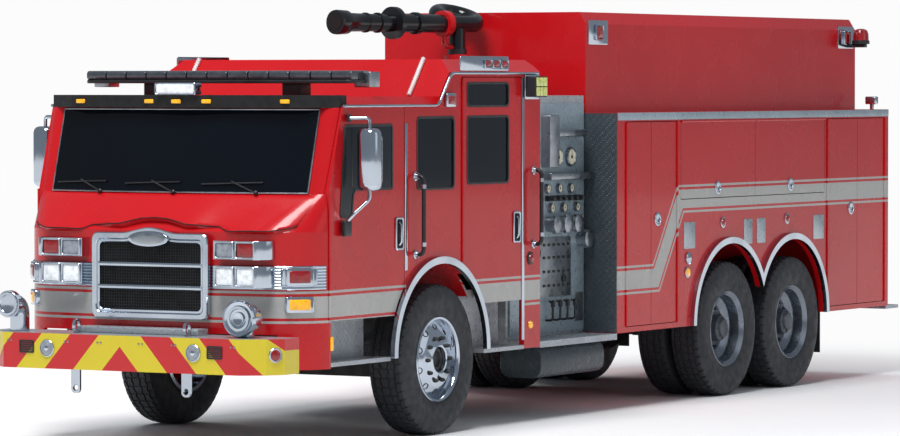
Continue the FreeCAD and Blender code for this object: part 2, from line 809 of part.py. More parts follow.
def make_bumper_fittings():
    """Tow eyes through the deck, a round siren and the front suction elbow with its cap."""
    pieces = []
    for i, sign in enumerate(("1", "-1")):
        x = "%s * eye_x" % sign
        bar = box("eye_bar%d" % i, (x + " - eye_thick / 2", "-eye_y - eye_radius", "bumper_top + seat_gap"),
                  (x + " + eye_thick / 2", "-eye_y + eye_radius", "eye_high"))
        hole = bore("eye_hole%d" % i, "x", (x, "-eye_y", "eye_high - eye_radius"), "eye_radius / 2", "eye_thick")
        pieces.append(cut("eye%d" % i, bar, hole))
    siren = rod("siren_can", "y", ("siren_x", "-siren_y - siren_long / 2", "siren_z"), "siren_radius",
                "siren_long")
    stand = box("siren_stand", ("siren_x - siren_radius / 2", "-siren_y - siren_radius / 2",
                                "bumper_top + seat_gap"),
                ("siren_x + siren_radius / 2", "-siren_y + siren_radius / 2", "siren_z"))
    riser = rod("suction_riser", "z", ("-suction_x", "-suction_y", "bumper_top + seat_gap"),
                "suction_radius + rim_wall", "suction_z - bumper_top + suction_radius + rim_wall")
    mouth = rod("suction_mouth", "y", ("-suction_x", "-suction_y - suction_long", "suction_z"),
                "suction_radius", "suction_long")
    cap = rod("suction_cap_disc", "y", ("-suction_x", "-suction_y - suction_long - rim_wall", "suction_z"),
              "suction_cap", "2 * rim_wall")
    pieces += [fuse("siren", siren, stand), fuse("suction", riser, mouth, cap)]
    publish("bumper_fittings", group("bumper_fitting_set", *pieces))


def make_grille():
    outer = box("grille_block", ("-grille_half", "-grille_face", "grille_bottom"),
                ("grille_half", "-cab_face - seat_gap", "grille_top"))
    hole = box("grille_hole", ("-grille_half + grille_frame", "-grille_face - overrun",
                               "grille_bottom + grille_frame"),
               ("grille_half - grille_frame", "0", "grille_top - grille_frame"))
    bars = [box("grille_bar%d" % i,
                ("-grille_half + grille_frame / 2", "-grille_face",
                 "grille_bottom + (grille_top - grille_bottom) * %d / 3 - grille_bar / 2" % (i + 1)),
                ("grille_half - grille_frame / 2", "-cab_face - seat_gap",
                 "grille_bottom + (grille_top - grille_bottom) * %d / 3 + grille_bar / 2" % (i + 1)))
            for i in range(SIZES["grille_bars"])]
    publish("grille", fuse("grille_whole", cut("grille_ring", outer, hole), *bars))


def make_lamps():
    pods = []
    for kind in ("head", "warn"):
        pods.append(box(kind + "_pod", ("lamp_pod_inner", "-lamp_pod_face",
                                        "%s_pod_centre - %s_pod_high / 2" % (kind, kind)),
                        ("lamp_pod_outer", "-cab_face + cab_wall / 2",
                         "%s_pod_centre + %s_pod_high / 2" % (kind, kind))))
    shell = loft("lamp_backing", cab_rings("-seat_gap", "-seat_gap", "cab_bottom"))
    pods = [cut("pod_on_face%d" % i, pod, shell) for i, pod in enumerate(pods)]
    pods.append(box("tail_lamp", ("tail_lamp_x - tail_lamp_wide / 2", "body_rear", "tail_lamp_z"),
                    ("tail_lamp_x + tail_lamp_wide / 2", "body_rear + tail_lamp_deep",
                     "tail_lamp_z + tail_lamp_high")))
    pods += [mirrored("lamp_right%d" % i, pod) for i, pod in enumerate(pods)]
    publish("lamps", group("lamp_set", *pods))


def make_visor():
    stops = [
        ("-visor_half", "-visor_end_y + visor_deep"),
        ("-visor_half", "-visor_end_y"),
        ("-visor_shoulder_half", "-visor_shoulder_y"),
        ("0", "-visor_face"),
        ("visor_shoulder_half", "-visor_shoulder_y"),
        ("visor_half", "-visor_end_y"),
        ("visor_half", "-visor_end_y + visor_deep"),
    ]
    block = slab("visor_block", "plan", "visor_bottom", "visor_top - visor_bottom", stops)
    cab = loft("visor_backing", cab_rings("-seat_gap", "-seat_gap", "cab_bottom"))
    publish("sun_visor", cut("visor_whole", block, cab))


def make_light_bar():
    stops = [
        ("-bar_half", "-bar_y + bar_chamfer"),
        ("-bar_half + bar_chamfer", "-bar_y"),
        ("bar_half - bar_chamfer", "-bar_y"),
        ("bar_half", "-bar_y + bar_chamfer"),
        ("bar_half", "-bar_y + bar_deep - bar_chamfer"),
        ("bar_half - bar_chamfer", "-bar_y + bar_deep"),
        ("-bar_half + bar_chamfer", "-bar_y + bar_deep"),
        ("-bar_half", "-bar_y + bar_deep - bar_chamfer"),
    ]
    bar = slab("bar_block", "plan", "bar_bottom", "bar_top - bar_bottom", stops)
    feet = [box("bar_foot%d" % i, ("%s * bar_foot_x - bar_foot_wide / 2" % sign, "-bar_y + bar_chamfer",
                                   "low_roof"),
                ("%s * bar_foot_x + bar_foot_wide / 2" % sign, "-bar_y + bar_deep - bar_chamfer",
                 "bar_bottom"))
            for i, sign in enumerate(("1", "-1"))]
    publish("light_bar", fuse("bar_whole", bar, *feet))


def make_mirrors():
    head = rod("mirror_head", "z", ("mirror_x", "-mirror_y", "mirror_bottom"), "mirror_radius",
               "mirror_top - mirror_bottom")
    stem = rod("mirror_stem", "z", ("mirror_x", "-mirror_y", "mirror_arm_low"), "mirror_arm",
               "mirror_arm_top - mirror_arm_low + mirror_arm")
    arms = [rod("mirror_arm_%s" % name, "x", ("body_half", "-mirror_y", level), "mirror_arm",
                "mirror_x - body_half + mirror_arm")
            for name, level in (("high", "mirror_arm_top"), ("low", "mirror_arm_low"))]
    both_sides("mirror", fuse("mirror_whole", head, stem, *arms))


# Wheels

def tyre_stops(wide, rim_wide):
    """A tyre's section over its width: a flat tread, round shoulders, bulging walls and an open inside."""
    half = "(%s) / 2" % wide
    bead = "((%s) / 2 - rim_flange - seat_gap)" % rim_wide
    seat = "tyre_bead_radius + seat_gap"
    return [
        ("-%s" % bead, seat),
        ("-%s" % bead, "rim_radius + seat_gap"),
        ("-%s" % half, "(tyre_radius + tyre_bead_radius) / 2"),
        ("-%s + tyre_shoulder / 2" % half, "tyre_radius - tyre_shoulder"),
        ("-%s + tyre_shoulder" % half, "tyre_radius"),
        ("%s - tyre_shoulder" % half, "tyre_radius"),
        ("%s - tyre_shoulder / 2" % half, "tyre_radius - tyre_shoulder"),
        (half, "(tyre_radius + tyre_bead_radius) / 2"),
        (bead, "rim_radius + seat_gap"),
        (bead, seat),
        ("%s - tyre_bead_wide" % bead, seat),
        ("%s - tyre_bead_wide" % bead, "tyre_bead_radius + tyre_bead_deep"),
        ("%s - tyre_wall" % half, "(tyre_radius + tyre_bead_radius) / 2"),
        ("%s - tyre_wall - tyre_shoulder" % half, "tyre_inner_radius"),
        ("-%s + tyre_wall + tyre_shoulder" % half, "tyre_inner_radius"),
        ("-%s + tyre_wall" % half, "(tyre_radius + tyre_bead_radius) / 2"),
        ("-%s + tyre_bead_wide" % bead, "tyre_bead_radius + tyre_bead_deep"),
        ("-%s + tyre_bead_wide" % bead, seat),
    ]


def front_rim_stops():
    """The front rim's section: flanges, barrel and a disc that stands towards the outside."""
    half = "rim_wide / 2"
    bore = "spindle_radius + bearing_gap"
    return [
        ("-%s" % half, "rim_barrel"),
        ("-%s" % half, "rim_radius"),
        ("-%s + rim_flange" % half, "rim_radius"),
        ("-%s + rim_flange" % half, "tyre_bead_radius"),
        ("%s - rim_flange" % half, "tyre_bead_radius"),
        ("%s - rim_flange" % half, "rim_radius"),
        (half, "rim_radius"),
        (half, "rim_barrel"),
        ("front_disc_out / 2", "rim_barrel - rim_wall"),
        ("front_disc_out", "disc_radius - rim_wall"),
        ("front_disc_out", bore),
        ("front_disc_out - rim_flange", bore),
        ("front_disc_out - rim_flange", "disc_radius - 2 * rim_wall"),
        ("front_disc_out / 2 - rim_flange", "rim_barrel - rim_wall"),
        ("0", "rim_barrel"),
    ]


def twin_rim_stops(side):
    """A twin rim's section. Its disc stands out past the flange to meet the other rim's disc."""
    bore = "spindle_radius + bearing_gap"
    half = "twin_rim_wide / 2"
    meet = "(twin_tyre_wide + twin_gap) / 2"
    stops = [
        (half, "rim_barrel"),
        (half, "rim_radius"),
        ("%s - rim_flange" % half, "rim_radius"),
        ("%s - rim_flange" % half, "tyre_bead_radius"),
        ("rim_flange - %s" % half, "tyre_bead_radius"),
        ("rim_flange - %s" % half, "rim_radius"),
        ("-%s" % half, "rim_radius"),
        ("-%s" % half, "rim_barrel - rim_wall"),
        ("-%s" % meet, "disc_radius"),
        ("-%s" % meet, bore),
        ("rim_flange - %s" % meet, bore),
        ("rim_flange - %s" % meet, "disc_radius - rim_wall"),
        ("2 * rim_flange - %s" % half, "rim_barrel - rim_wall"),
        ("4 * rim_flange - %s" % half, "rim_barrel"),
    ]
    return [("%s * (%s)" % (side, u), v) for u, v in stops]


def make_wheels():
    """Front wheels stand alone; rear wheels are twins with their discs face to face."""
    front_x = "body_half - tyre_wide / 2"
    tyre = lathe("front_tyre", "front", "H_Axis", tyre_stops("tyre_wide", "rim_wide"))
    rim = lathe("front_rim", "front", "H_Axis", front_rim_stops())
    both_sides("tyre_front", place(tyre, front_x, "0", "tyre_radius"))
    both_sides("rim_front", place(rim, front_x, "0", "tyre_radius"))
    for name, axle in (("middle", "rear_axle_one"), ("rear", "rear_axle_two")):
        tyres = []
        rims = []
        for where, side, x in (("outer", "1", "body_half - twin_tyre_wide / 2"),
                               ("inner", "-1", "body_half - twin_tyre_wide * 3 / 2 - twin_gap")):
            one = lathe("%s_%s_tyre" % (name, where), "front", "H_Axis",
                        tyre_stops("twin_tyre_wide", "twin_rim_wide"))
            other = lathe("%s_%s_rim" % (name, where), "front", "H_Axis", twin_rim_stops(side))
            tyres.append(place(one, x, axle, "tyre_radius"))
            rims.append(place(other, x, axle, "tyre_radius"))
        both_sides("tyres_" + name, group(name + "_tyres", *tyres))
        both_sides("rims_" + name, fuse(name + "_rims", *rims))


def make_knuckles():
    pin = rod("kingpin", "z", ("kingpin_x", "0", "tyre_radius - kingpin_high / 2"), "kingpin_radius",
              "kingpin_high")
    spindle = rod("spindle", "x", ("kingpin_x", "0", "tyre_radius"), "spindle_radius",
                  "body_half - tyre_wall * 2 - kingpin_x")
    both_sides("knuckle", fuse("knuckle_whole", pin, spindle))


# Frame

def make_chassis():
    rails = [box("frame_rail%d" % i, ("%s * rail_x - rail_wide / 2" % sign, "-rail_front", "rail_bottom"),
                 ("%s * rail_x + rail_wide / 2" % sign, "rail_rear", "rail_top"))
             for i, sign in enumerate(("1", "-1"))]
    crosses = [box("cross_member%d" % i, ("-rail_x", "%s - cross_wide / 2" % y, "rail_bottom"),
                   ("rail_x", "%s + cross_wide / 2" % y, "rail_top"))
               for i, y in enumerate(("-rail_front + cross_wide", "cab_rear", "pump_rear",
                                      "(rear_axle_one + rear_axle_two) / 2", "rail_rear - cross_wide"))]
    mounts = [box("cab_mount%d%d" % (i, j), ("%s * rail_x - rail_wide / 2" % sign, "%s - cross_wide / 2" % y,
                                             "rail_top"),
                  ("%s * rail_x + rail_wide / 2" % sign, "%s + cross_wide / 2" % y,
                   "cab_floor_top - cab_floor_deep"))
              for i, sign in enumerate(("1", "-1")) for j, y in enumerate(("-firewall_y", "rear_rail_y"))]
    arms = [box("body_arm%d" % i, ("-body_inner", "%s - cross_wide / 2" % y, "rail_bottom"),
                ("body_inner", "%s + cross_wide / 2" % y, "rail_bottom + cross_wide"))
            for i, y in enumerate(("front_bay_split", "rear_bay_split"))]
    publish("chassis_frame", fuse("frame_whole", *rails, *crosses, *mounts, *arms))


def make_engine():
    block = box("engine_body", ("-engine_half", "-engine_front", "engine_bottom"),
                ("engine_half", "engine_rear", "engine_top"))
    gearbox = rod("gearbox", "y", ("0", "engine_rear - overrun", "rail_top - gearbox_radius"), "gearbox_radius",
                  "gearbox_long + overrun")
    feet = [box("engine_foot%d" % i, ("-rail_x + rail_wide / 2", "%s - cross_wide / 2" % y, "engine_bottom"),
                ("rail_x - rail_wide / 2", "%s + cross_wide / 2" % y, "engine_bottom + cross_wide"))
            for i, y in enumerate(("-engine_front + 2 * cross_wide", "engine_rear - 2 * cross_wide"))]
    publish("engine_block", fuse("engine_whole", block, gearbox, *feet))


def make_axles():
    beam = box("front_beam", ("-kingpin_x + kingpin_radius + bearing_gap", "-front_beam_deep / 2",
                              "front_beam_z - front_beam_high / 2"),
               ("kingpin_x - kingpin_radius - bearing_gap", "front_beam_deep / 2",
                "front_beam_z + front_beam_high / 2"))
    springs = []
    for i, axle in enumerate(("0", "rear_axle_one", "rear_axle_two")):
        low = "tyre_radius - axle_tube" if i else "front_beam_z + front_beam_high / 2"
        for j, sign in enumerate(("1", "-1")):
            springs.append(box("spring_seat%d%d" % (i, j),
                               ("%s * rail_x - rail_wide / 2" % sign, "%s - spring_wide" % axle, low),
                               ("%s * rail_x + rail_wide / 2" % sign, "%s + spring_wide" % axle,
                                "rail_bottom")))
    tubes = []
    for i, axle in enumerate(("rear_axle_one", "rear_axle_two")):
        tubes.append(bore("axle_tube%d" % i, "x", ("0", axle, "tyre_radius"), "axle_tube",
                          "body_half - 2 * twin_tyre_wide - twin_gap - running_gap"))
        tubes.append(bore("axle_end%d" % i, "x", ("0", axle, "tyre_radius"), "spindle_radius",
                          "body_half - twin_tyre_wide + tyre_wall"))
        tubes.append(bore("banjo%d" % i, "y", ("0", axle, "tyre_radius"), "banjo_radius", "axle_tube * 2"))
    publish("axles", group("axle_set", fuse("front_axle", beam, *springs[:2]),
                           fuse("middle_axle", *tubes[:3], *springs[2:4]),
                           fuse("rear_axle", *tubes[3:], *springs[4:])))


# Middle and rear

def make_pump_house():
    block = box("pump_block", ("-pump_half", "cab_rear", "board_top"), ("pump_half", "pump_rear", "pump_top"))
    slot = [box("pump_frame_slot%d" % i, ("%s * rail_x - rail_wide / 2 - running_gap" % sign,
                                          "cab_rear - overrun", "board_top - overrun"),
                ("%s * rail_x + rail_wide / 2 + running_gap" % sign, "pump_rear + overrun",
                 "rail_top + seat_gap"))
            for i, sign in enumerate(("1", "-1"))]
    middle = box("pump_frame_slot2", ("-rail_x", "cab_rear - overrun", "board_top - overrun"),
                 ("rail_x", "pump_rear + overrun", "rail_top + seat_gap"))
    publish("pump_house", cut("pump_house_whole", block, middle, *slot))


def make_pump_controls():
    """The left side's control panel with its gauges and outlets, and the right side's outlets."""
    face = "pump_half + panel_thick"
    middle = "(panel_front + panel_rear) / 2"
    plate = box("control_plate", ("pump_half", "panel_front", "panel_bottom"), (face, "panel_rear", "panel_top"))
    gauges = [rod("gauge%d" % i, "x", (face + " - seat_gap", "%s + %s * big_gauge_radius" % (middle, shift), level),
                  size, "gauge_deep")
              for i, (shift, level, size) in enumerate((
                  ("1.3", "gauge_z", "big_gauge_radius"), ("-1.3", "gauge_z", "big_gauge_radius"),
                  ("0", "gauge_z - 3 * big_gauge_radius", "small_gauge_radius"),
                  ("2", "gauge_z - 3 * big_gauge_radius", "small_gauge_radius"),
                  ("-2", "gauge_z - 3 * big_gauge_radius", "small_gauge_radius")))]
    outlets = [rod("outlet%d" % i, "x", (face + " - seat_gap", "%s + %s * outlet_radius" % (middle, shift),
                                         "outlet_z"), "outlet_radius", "outlet_long")
               for i, shift in enumerate(("-4", "0", "4"))]
    panel = fuse("control_panel", plate, *gauges, *outlets)
    publish("pump_controls", group("control_set", panel, mirrored("control_panel_right", panel)))


def make_body():
    """One side of the rear body: a closed module whose bays open to the outside."""
    block = box("body_block", ("body_inner", "pump_rear", "body_bottom"),
                ("body_half", "body_rear", "body_top"))
    inner = "body_inner + body_wall"
    outer = "body_half + overrun"
    bays = [box("%s_bay" % name, (inner, "%s_bay_front - door_gap" % name, "%s - door_gap" % low),
                (outer, "%s_bay_rear + door_gap" % name, "door_top + door_gap"))
            for name, low in (("front", "door_bottom"), ("middle", "middle_bay_bottom"),
                              ("rear", "door_bottom"))]
    well = box("wheel_well", ("body_inner - overrun", "well_front", "body_bottom - overrun"),
               ("body_half - body_wall", "well_rear", "well_top"))
    arches = [arch_bore("body_arch%d" % i, "arch_inner_round", "body_half - body_wall - overrun",
                        "body_half + overrun", axle)
              for i, axle in enumerate(("rear_axle_one", "rear_arch_two"))]
    sill = box("arch_sill", ("body_half - body_wall - overrun", "rear_axle_one", "body_bottom - overrun"),
               ("body_half + overrun", "rear_arch_two", "arch_height"))
    both_sides("body", cut("body_whole", block, well, sill, *bays, *arches))


def bay_leaf(label, front, rear, bottom):
    """A flat door leaf that fills part of a bay."""
    return box(label, ("body_half - body_wall", front, bottom), ("body_half", rear, "door_top"))


def make_body_doors():
    """Double doors hinged at their outer edges and lift-up doors hinged along their tops."""
    for name in ("front", "rear"):
        split = "%s_bay_split" % name
        front = "%s_bay_front" % name
        rear = "%s_bay_rear" % name
        one = bay_leaf(name + "_leaf_one", front, "%s - door_gap / 2" % split, "door_bottom")
        two = bay_leaf(name + "_leaf_two", "%s + door_gap / 2" % split, rear, "door_bottom")
        for which, leaf, edge in (("one", one, front), ("two", two, rear)):
            barrel = hinge("%s_hinge_%s" % (name, which), "z", (edge, "door_bottom"), "door_top - door_bottom")
            both_sides("locker_%s_%s" % (name, which), fuse("%s_locker_%s" % (name, which), leaf, barrel))
    for which, front, rear in (("one", "middle_bay_front", "middle_bay_split - door_gap / 2"),
                               ("two", "middle_bay_split + door_gap / 2", "middle_bay_rear")):
        leaf = bay_leaf("lift_leaf_" + which, front, rear, "middle_bay_bottom")
        barrel = hinge("lift_hinge_" + which, "y", (front, "door_top"), "(%s) - (%s)" % (rear, front))
        both_sides("lift_door_" + which, fuse("lift_whole_" + which, leaf, barrel))


def make_tank():
    stops = [
        ("-tank_half", "body_top"),
        ("tank_half", "body_top"),
        ("tank_half", "tank_edge - tank_bevel"),
        ("tank_half - tank_bevel", "tank_top"),
        ("-tank_half + tank_bevel", "tank_top"),
        ("-tank_half", "tank_edge - tank_bevel"),
    ]
    upper = slab("tank_upper", "front", "-tank_rear", "tank_rear - tank_front", stops)
    lower = box("tank_lower", ("-tank_low_half", "tank_front", "rail_top"),
                ("tank_low_half", "tank_rear", "body_top"))
    publish("water_tank", fuse("tank_whole", upper, lower))


def make_arches():
    """Polished trims round the six wheel arches; the rear pair on each side is one piece."""
    trims = []
    inner = "body_half - arch_trim_deep / 2"
    outer = "body_half + arch_trim_proud"
    ring = cut("front_trim_ring", arch_bore("front_trim_out", "arch_inner_round + arch_trim_width",
                                            "body_half + seat_gap", outer),
               arch_bore("front_trim_in", "arch_inner_round", inner + " - overrun", outer + " + overrun"))
    floor = box("front_trim_floor", (inner + " - overrun", "-tyre_radius * 2", "-tyre_radius"),
                (outer + " + overrun", "tyre_radius * 2", "cab_bottom + step_plate"))
    trims.append(cut("front_trim", ring, floor))
    twin = fuse("rear_trim_out", *[arch_bore("rear_trim_out%d" % i, "arch_inner_round + arch_trim_width",
                                             "body_half + seat_gap", outer, axle)
                                   for i, axle in enumerate(("rear_axle_one", "rear_arch_two"))])
    holes = [arch_bore("rear_trim_in%d" % i, "arch_inner_round", inner + " - overrun", outer + " + overrun",
                       axle) for i, axle in enumerate(("rear_axle_one", "rear_arch_two"))]
    rear_floor = box("rear_trim_floor", (inner + " - overrun", "rear_axle_one - tyre_radius * 2", "-tyre_radius"),
                     (outer + " + overrun", "rear_axle_two + tyre_radius * 2", "body_bottom"))
    trims.append(cut("rear_trim", twin, rear_floor, *holes))
    trims += [mirrored("arch_trim_right%d" % i, trim) for i, trim in enumerate(trims)]
    publish("wheel_arches", group("arch_set", *trims))


def make_steps():
    inner = "body_half - step_well_deep"
    treads = []
    for name, front, rear in (("front", "-front_step_front", "-front_step_rear - arch_gap"),
                              ("rear", "rear_step_front + arch_gap", "rear_step_rear")):
        low = "%s_step_tread - step_plate" % name
        treads.append(fuse(name + "_step",
                           box(name + "_tread", (inner, front, low), ("body_half", rear, "%s_step_tread" % name)),
                           box(name + "_riser", (inner + " - step_plate", front, low),
                               (inner, rear, "cab_floor_top - cab_floor_deep"))))
    treads += [
        box("running_board", ("rail_x + rail_wide", "cab_rear", "board_top - board_deep"),
            ("body_half", "pump_rear", "board_top")),
    ]
    treads += [mirrored("tread_right%d" % i, tread) for i, tread in enumerate(treads)]
    tailboard = box("tailboard", ("-body_half", "body_rear - body_wall", "board_top - tailboard_deep"),
                    ("body_half", "tail_reach", "board_top"))
    publish("steps", group("step_set", tailboard, *treads))


def make_flaps():
    flap = box("flap", ("body_half - flap_wide", "well_rear - flap_thick", "flap_bottom"),
               ("body_half - body_wall", "well_rear", "flap_top"))
    publish("mud_flaps", group("flap_set", flap, mirrored("flap_right", flap)))


def handrail(label, y, bottom, top):
    """An upright rail on two short stand-offs."""
    x = "body_half + rail_stand"
    upright = rod(label + "_tube", "z", (x, y, bottom), "rail_tube", "%s - %s" % (top, bottom))
    posts = [rod("%s_post%d" % (label, i), "x", ("body_half", y, level), "rail_tube",
                 "rail_stand + rail_tube")
             for i, level in enumerate(("%s + 2 * rail_tube" % bottom, "%s - 2 * rail_tube" % top))]
    return fuse(label, upright, *posts)


def make_grab_rails():
    rails = [handrail("front_rail", "-front_rail_y", "front_rail_bottom", "front_rail_top"),
             handrail("rear_rail", "rear_rail_y", "rear_rail_bottom", "rear_rail_top")]
    rails += [mirrored("grab_rail_right%d" % i, rail) for i, rail in enumerate(rails)]
    publish("grab_rails", group("rail_set", *rails))


def make_monitor():
    post = rod("monitor_post", "z", ("0", "post_y", "pump_top"), "post_radius", "post_top - pump_top")
    publish("monitor_base", post)
    barrel = rod("monitor_pipe", "y", ("0", "post_y - barrel_long", "barrel_z"), "barrel_radius",
                 "barrel_long + loop_back")
    mouth = rod("monitor_mouth", "y", ("0", "post_y - barrel_long", "barrel_z"), "mouth_radius", "mouth_long")
    loop = rod("monitor_loop", "x", ("-barrel_radius", "post_y + loop_back", "loop_top"), "barrel_radius",
               "2 * barrel_radius")
    neck = rod("monitor_neck", "z", ("0", "post_y", "post_top + seat_gap"), "post_radius",
               "barrel_z - post_top")
    publish("monitor_barrel", fuse("monitor_barrel_whole", barrel, mouth, loop, neck))


def check_document():
    """Stop if any object failed or any node's shape is missing or broken."""
    for item in doc.Objects:
        if "Invalid" in item.State or "Error" in item.State:
            raise RuntimeError("failed object: %s %s" % (item.Label, item.State))
    for node in nodes:
        if node.Shape.isNull() or not node.Shape.isValid() or not node.Shape.Solids:
            raise RuntimeError("bad shape: %s" % node.Label)


make_cab_shell()
make_cab_glass()
make_cab_doors()
make_cab_interior()
make_bumper()
make_bumper_fittings()
make_grille()
make_lamps()
make_visor()
make_light_bar()
make_mirrors()
make_wheels()
make_knuckles()
make_chassis()
make_engine()
make_axles()
make_pump_house()
make_pump_controls()
make_body()
make_body_doors()
make_tank()
make_arches()
make_steps()
make_flaps()
make_grab_rails()
make_monitor()

doc.recompute()
check_document()
os.makedirs("parts", exist_ok=True)
for node in nodes:
    node.Shape.exportStep("parts/%s.step" % node.Label)
print("nodes:", len(nodes))
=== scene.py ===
"""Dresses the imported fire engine: its finishes, its small parts, the floor, the light and the camera."""
import math

import bpy
import numpy as np
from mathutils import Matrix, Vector


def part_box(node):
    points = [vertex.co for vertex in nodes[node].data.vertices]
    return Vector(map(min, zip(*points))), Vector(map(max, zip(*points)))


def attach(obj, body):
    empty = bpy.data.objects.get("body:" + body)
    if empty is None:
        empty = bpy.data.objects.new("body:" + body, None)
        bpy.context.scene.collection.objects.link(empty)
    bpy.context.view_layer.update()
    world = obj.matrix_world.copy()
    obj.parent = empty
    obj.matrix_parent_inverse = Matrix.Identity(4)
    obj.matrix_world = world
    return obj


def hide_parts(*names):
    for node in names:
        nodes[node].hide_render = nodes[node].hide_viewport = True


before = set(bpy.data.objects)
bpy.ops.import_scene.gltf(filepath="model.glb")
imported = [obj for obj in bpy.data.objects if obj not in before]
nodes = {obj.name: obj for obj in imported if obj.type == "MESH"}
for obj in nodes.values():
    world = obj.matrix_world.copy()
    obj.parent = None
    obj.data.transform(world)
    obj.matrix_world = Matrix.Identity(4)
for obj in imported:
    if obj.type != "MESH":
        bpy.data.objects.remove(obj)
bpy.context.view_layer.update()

# The frame counts y from the middle of the truck's length, and this is its front axle's place.
AXLE_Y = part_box("tyre_front_left")[0].y / 2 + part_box("tyre_front_left")[1].y / 2
BODY_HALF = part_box("body_left")[1].x
CAB_MIDDLE = (0.0, AXLE_Y, 1.2)
FACE = 1.2452  # the doors' and bodies' outer side, a hair proud of it
PANEL = 0.956  # the pump panel's outer side
THIRDS = (0.0, 2.094, 4.189)  # thirds of a turn


def linear(red, green, blue):
    """A screen colour, 0 to 255 a channel, as the shares of light that it stands for."""
    shares = np.array([red, green, blue]) / 255.0
    light = np.where(shares <= 0.04045, shares / 12.92, ((shares + 0.055) / 1.055) ** 2.4)
    return (*light.tolist(), 1.0)


RED = linear(196, 16, 24)
SHADE_RED = linear(184, 14, 22)
STRIPE_GREY = linear(176, 175, 172)
YELLOW = linear(216, 196, 26)
DECK_GREY = linear(150, 156, 162)
STRIPE_HALF, LINE_NEAR, LINE_FAR = 0.076, 0.096, 0.114
CAB_STRIPE = 1.015


class Finish:
    """One surface finish: a shader, and the pattern that colours, roughens and dents it."""

    def __init__(self, name, colour, rough=0.4, metal=0.0):
        self.material = bpy.data.materials.new(name)
        self.material.use_nodes = True
        self.tree = self.material.node_tree
        self.shader = self.tree.nodes["Principled BSDF"]
        self.shader.inputs["Base Color"].default_value = colour
        self.shader.inputs["Roughness"].default_value = rough
        self.shader.inputs["Metallic"].default_value = metal
        self.place = self.tree.nodes.new("ShaderNodeTexCoord")
        self.where = self.place.outputs["Object"]

    def set(self, **values):
        """Set even values on the shader's own sockets."""
        for name, value in values.items():
            self.shader.inputs[name.replace("_", " ")].default_value = value
        return self

    def join(self, value, socket):
        """Lead a colour or number into a socket, or set it there."""
        if isinstance(value, bpy.types.NodeSocket):
            self.tree.links.new(value, socket)
        else:
            socket.default_value = value

    def sum(self, kind, first, second=0.0, third=0.0):
        """One step of arithmetic on numbers."""
        node = self.tree.nodes.new("ShaderNodeMath")
        node.operation = kind
        for value, socket in zip((first, second, third), node.inputs):
            self.join(value, socket)
        return node.outputs[0]

    def axes(self, vector=None):
        """The x, y and z of the place on the piece, in metres."""
        node = self.tree.nodes.new("ShaderNodeSeparateXYZ")
        self.join(vector or self.where, node.inputs[0])
        return node.outputs

    def blend(self, share, first, second):
        """The first colour where the share is 0 and the second where it is 1."""
        node = self.tree.nodes.new("ShaderNodeMix")
        node.data_type = "RGBA"
        self.join(share, node.inputs["Factor"])
        self.join(first, node.inputs["A"])
        self.join(second, node.inputs["B"])
        return next(out for out in node.outputs if out.enabled)

    def spread(self, value, low, high, start=0.0, end=1.0):
        """A number from start to end as the value goes from low to high."""
        node = self.tree.nodes.new("ShaderNodeMapRange")
        for socket, number in zip(node.inputs, (value, low, high, start, end)):
            self.join(number, socket)
        return node.outputs[0]

    def scaled(self, vector, stretch):
        """The place stretched along each axis."""
        node = self.tree.nodes.new("ShaderNodeVectorMath")
        node.operation = "MULTIPLY"
        self.join(vector, node.inputs[0])
        node.inputs[1].default_value = stretch
        return node.outputs[0]

    def clouds(self, scale, detail=3.0, stretch=(1.0, 1.0, 1.0)):
        """Soft uneven noise, about 0.3 to 0.7, its spots 1/scale of a metre wide."""
        node = self.tree.nodes.new("ShaderNodeTexNoise")
        node.inputs["Scale"].default_value = scale
        node.inputs["Detail"].default_value = detail
        self.join(self.scaled(self.where, stretch), node.inputs["Vector"])
        return node.outputs["Fac"]

    def mottle(self, colour, darker, scale, stretch=(1.0, 1.0, 1.0), detail=4.0):
        """Let the colour drift towards a darker one in soft spots, and return the mixed colour."""
        mixed = self.blend(self.spread(self.clouds(scale, detail, stretch), 0.4, 0.72), colour, darker)
        self.join(mixed, self.shader.inputs["Base Color"])
        return mixed

    def gloss(self, scale, low, high, stretch=(1.0, 1.0, 1.0)):
        """Let the roughness drift between two values in soft spots."""
        value = self.spread(self.clouds(scale, 4.0, stretch), 0.35, 0.65, low, high)
        self.join(value, self.shader.inputs["Roughness"])

    def dent(self, height, strength, depth):
        """Raise and sink the surface by a pattern, with the depth in metres."""
        node = self.tree.nodes.new("ShaderNodeBump")
        node.inputs["Strength"].default_value = strength
        node.inputs["Distance"].default_value = depth
        self.join(height, node.inputs["Height"])
        self.join(node.outputs["Normal"], self.shader.inputs["Normal"])


def facing(finish, middle):
    """1 where the surface faces away from a middle point, 0 on inner walls."""
    away = finish.tree.nodes.new("ShaderNodeVectorMath")
    away.operation = "SUBTRACT"
    finish.join(finish.where, away.inputs[0])
    away.inputs[1].default_value = middle
    dot = finish.tree.nodes.new("ShaderNodeVectorMath")
    dot.operation = "DOT_PRODUCT"
    finish.join(away.outputs[0], dot.inputs[0])
    finish.join(finish.place.outputs["Normal"], dot.inputs[1])
    return finish.sum("GREATER_THAN", dot.outputs["Value"], 0.0)


def band(finish, value):
    """1 on the broad stripe and on the thin line along each side of it, from the distance to its middle."""
    reach = finish.sum("ABSOLUTE", value)
    broad = finish.sum("LESS_THAN", reach, STRIPE_HALF)
    thin = finish.sum("MULTIPLY", finish.sum("GREATER_THAN", reach, LINE_NEAR),
                      finish.sum("LESS_THAN", reach, LINE_FAR))
    return finish.sum("MAXIMUM", broad, thin)


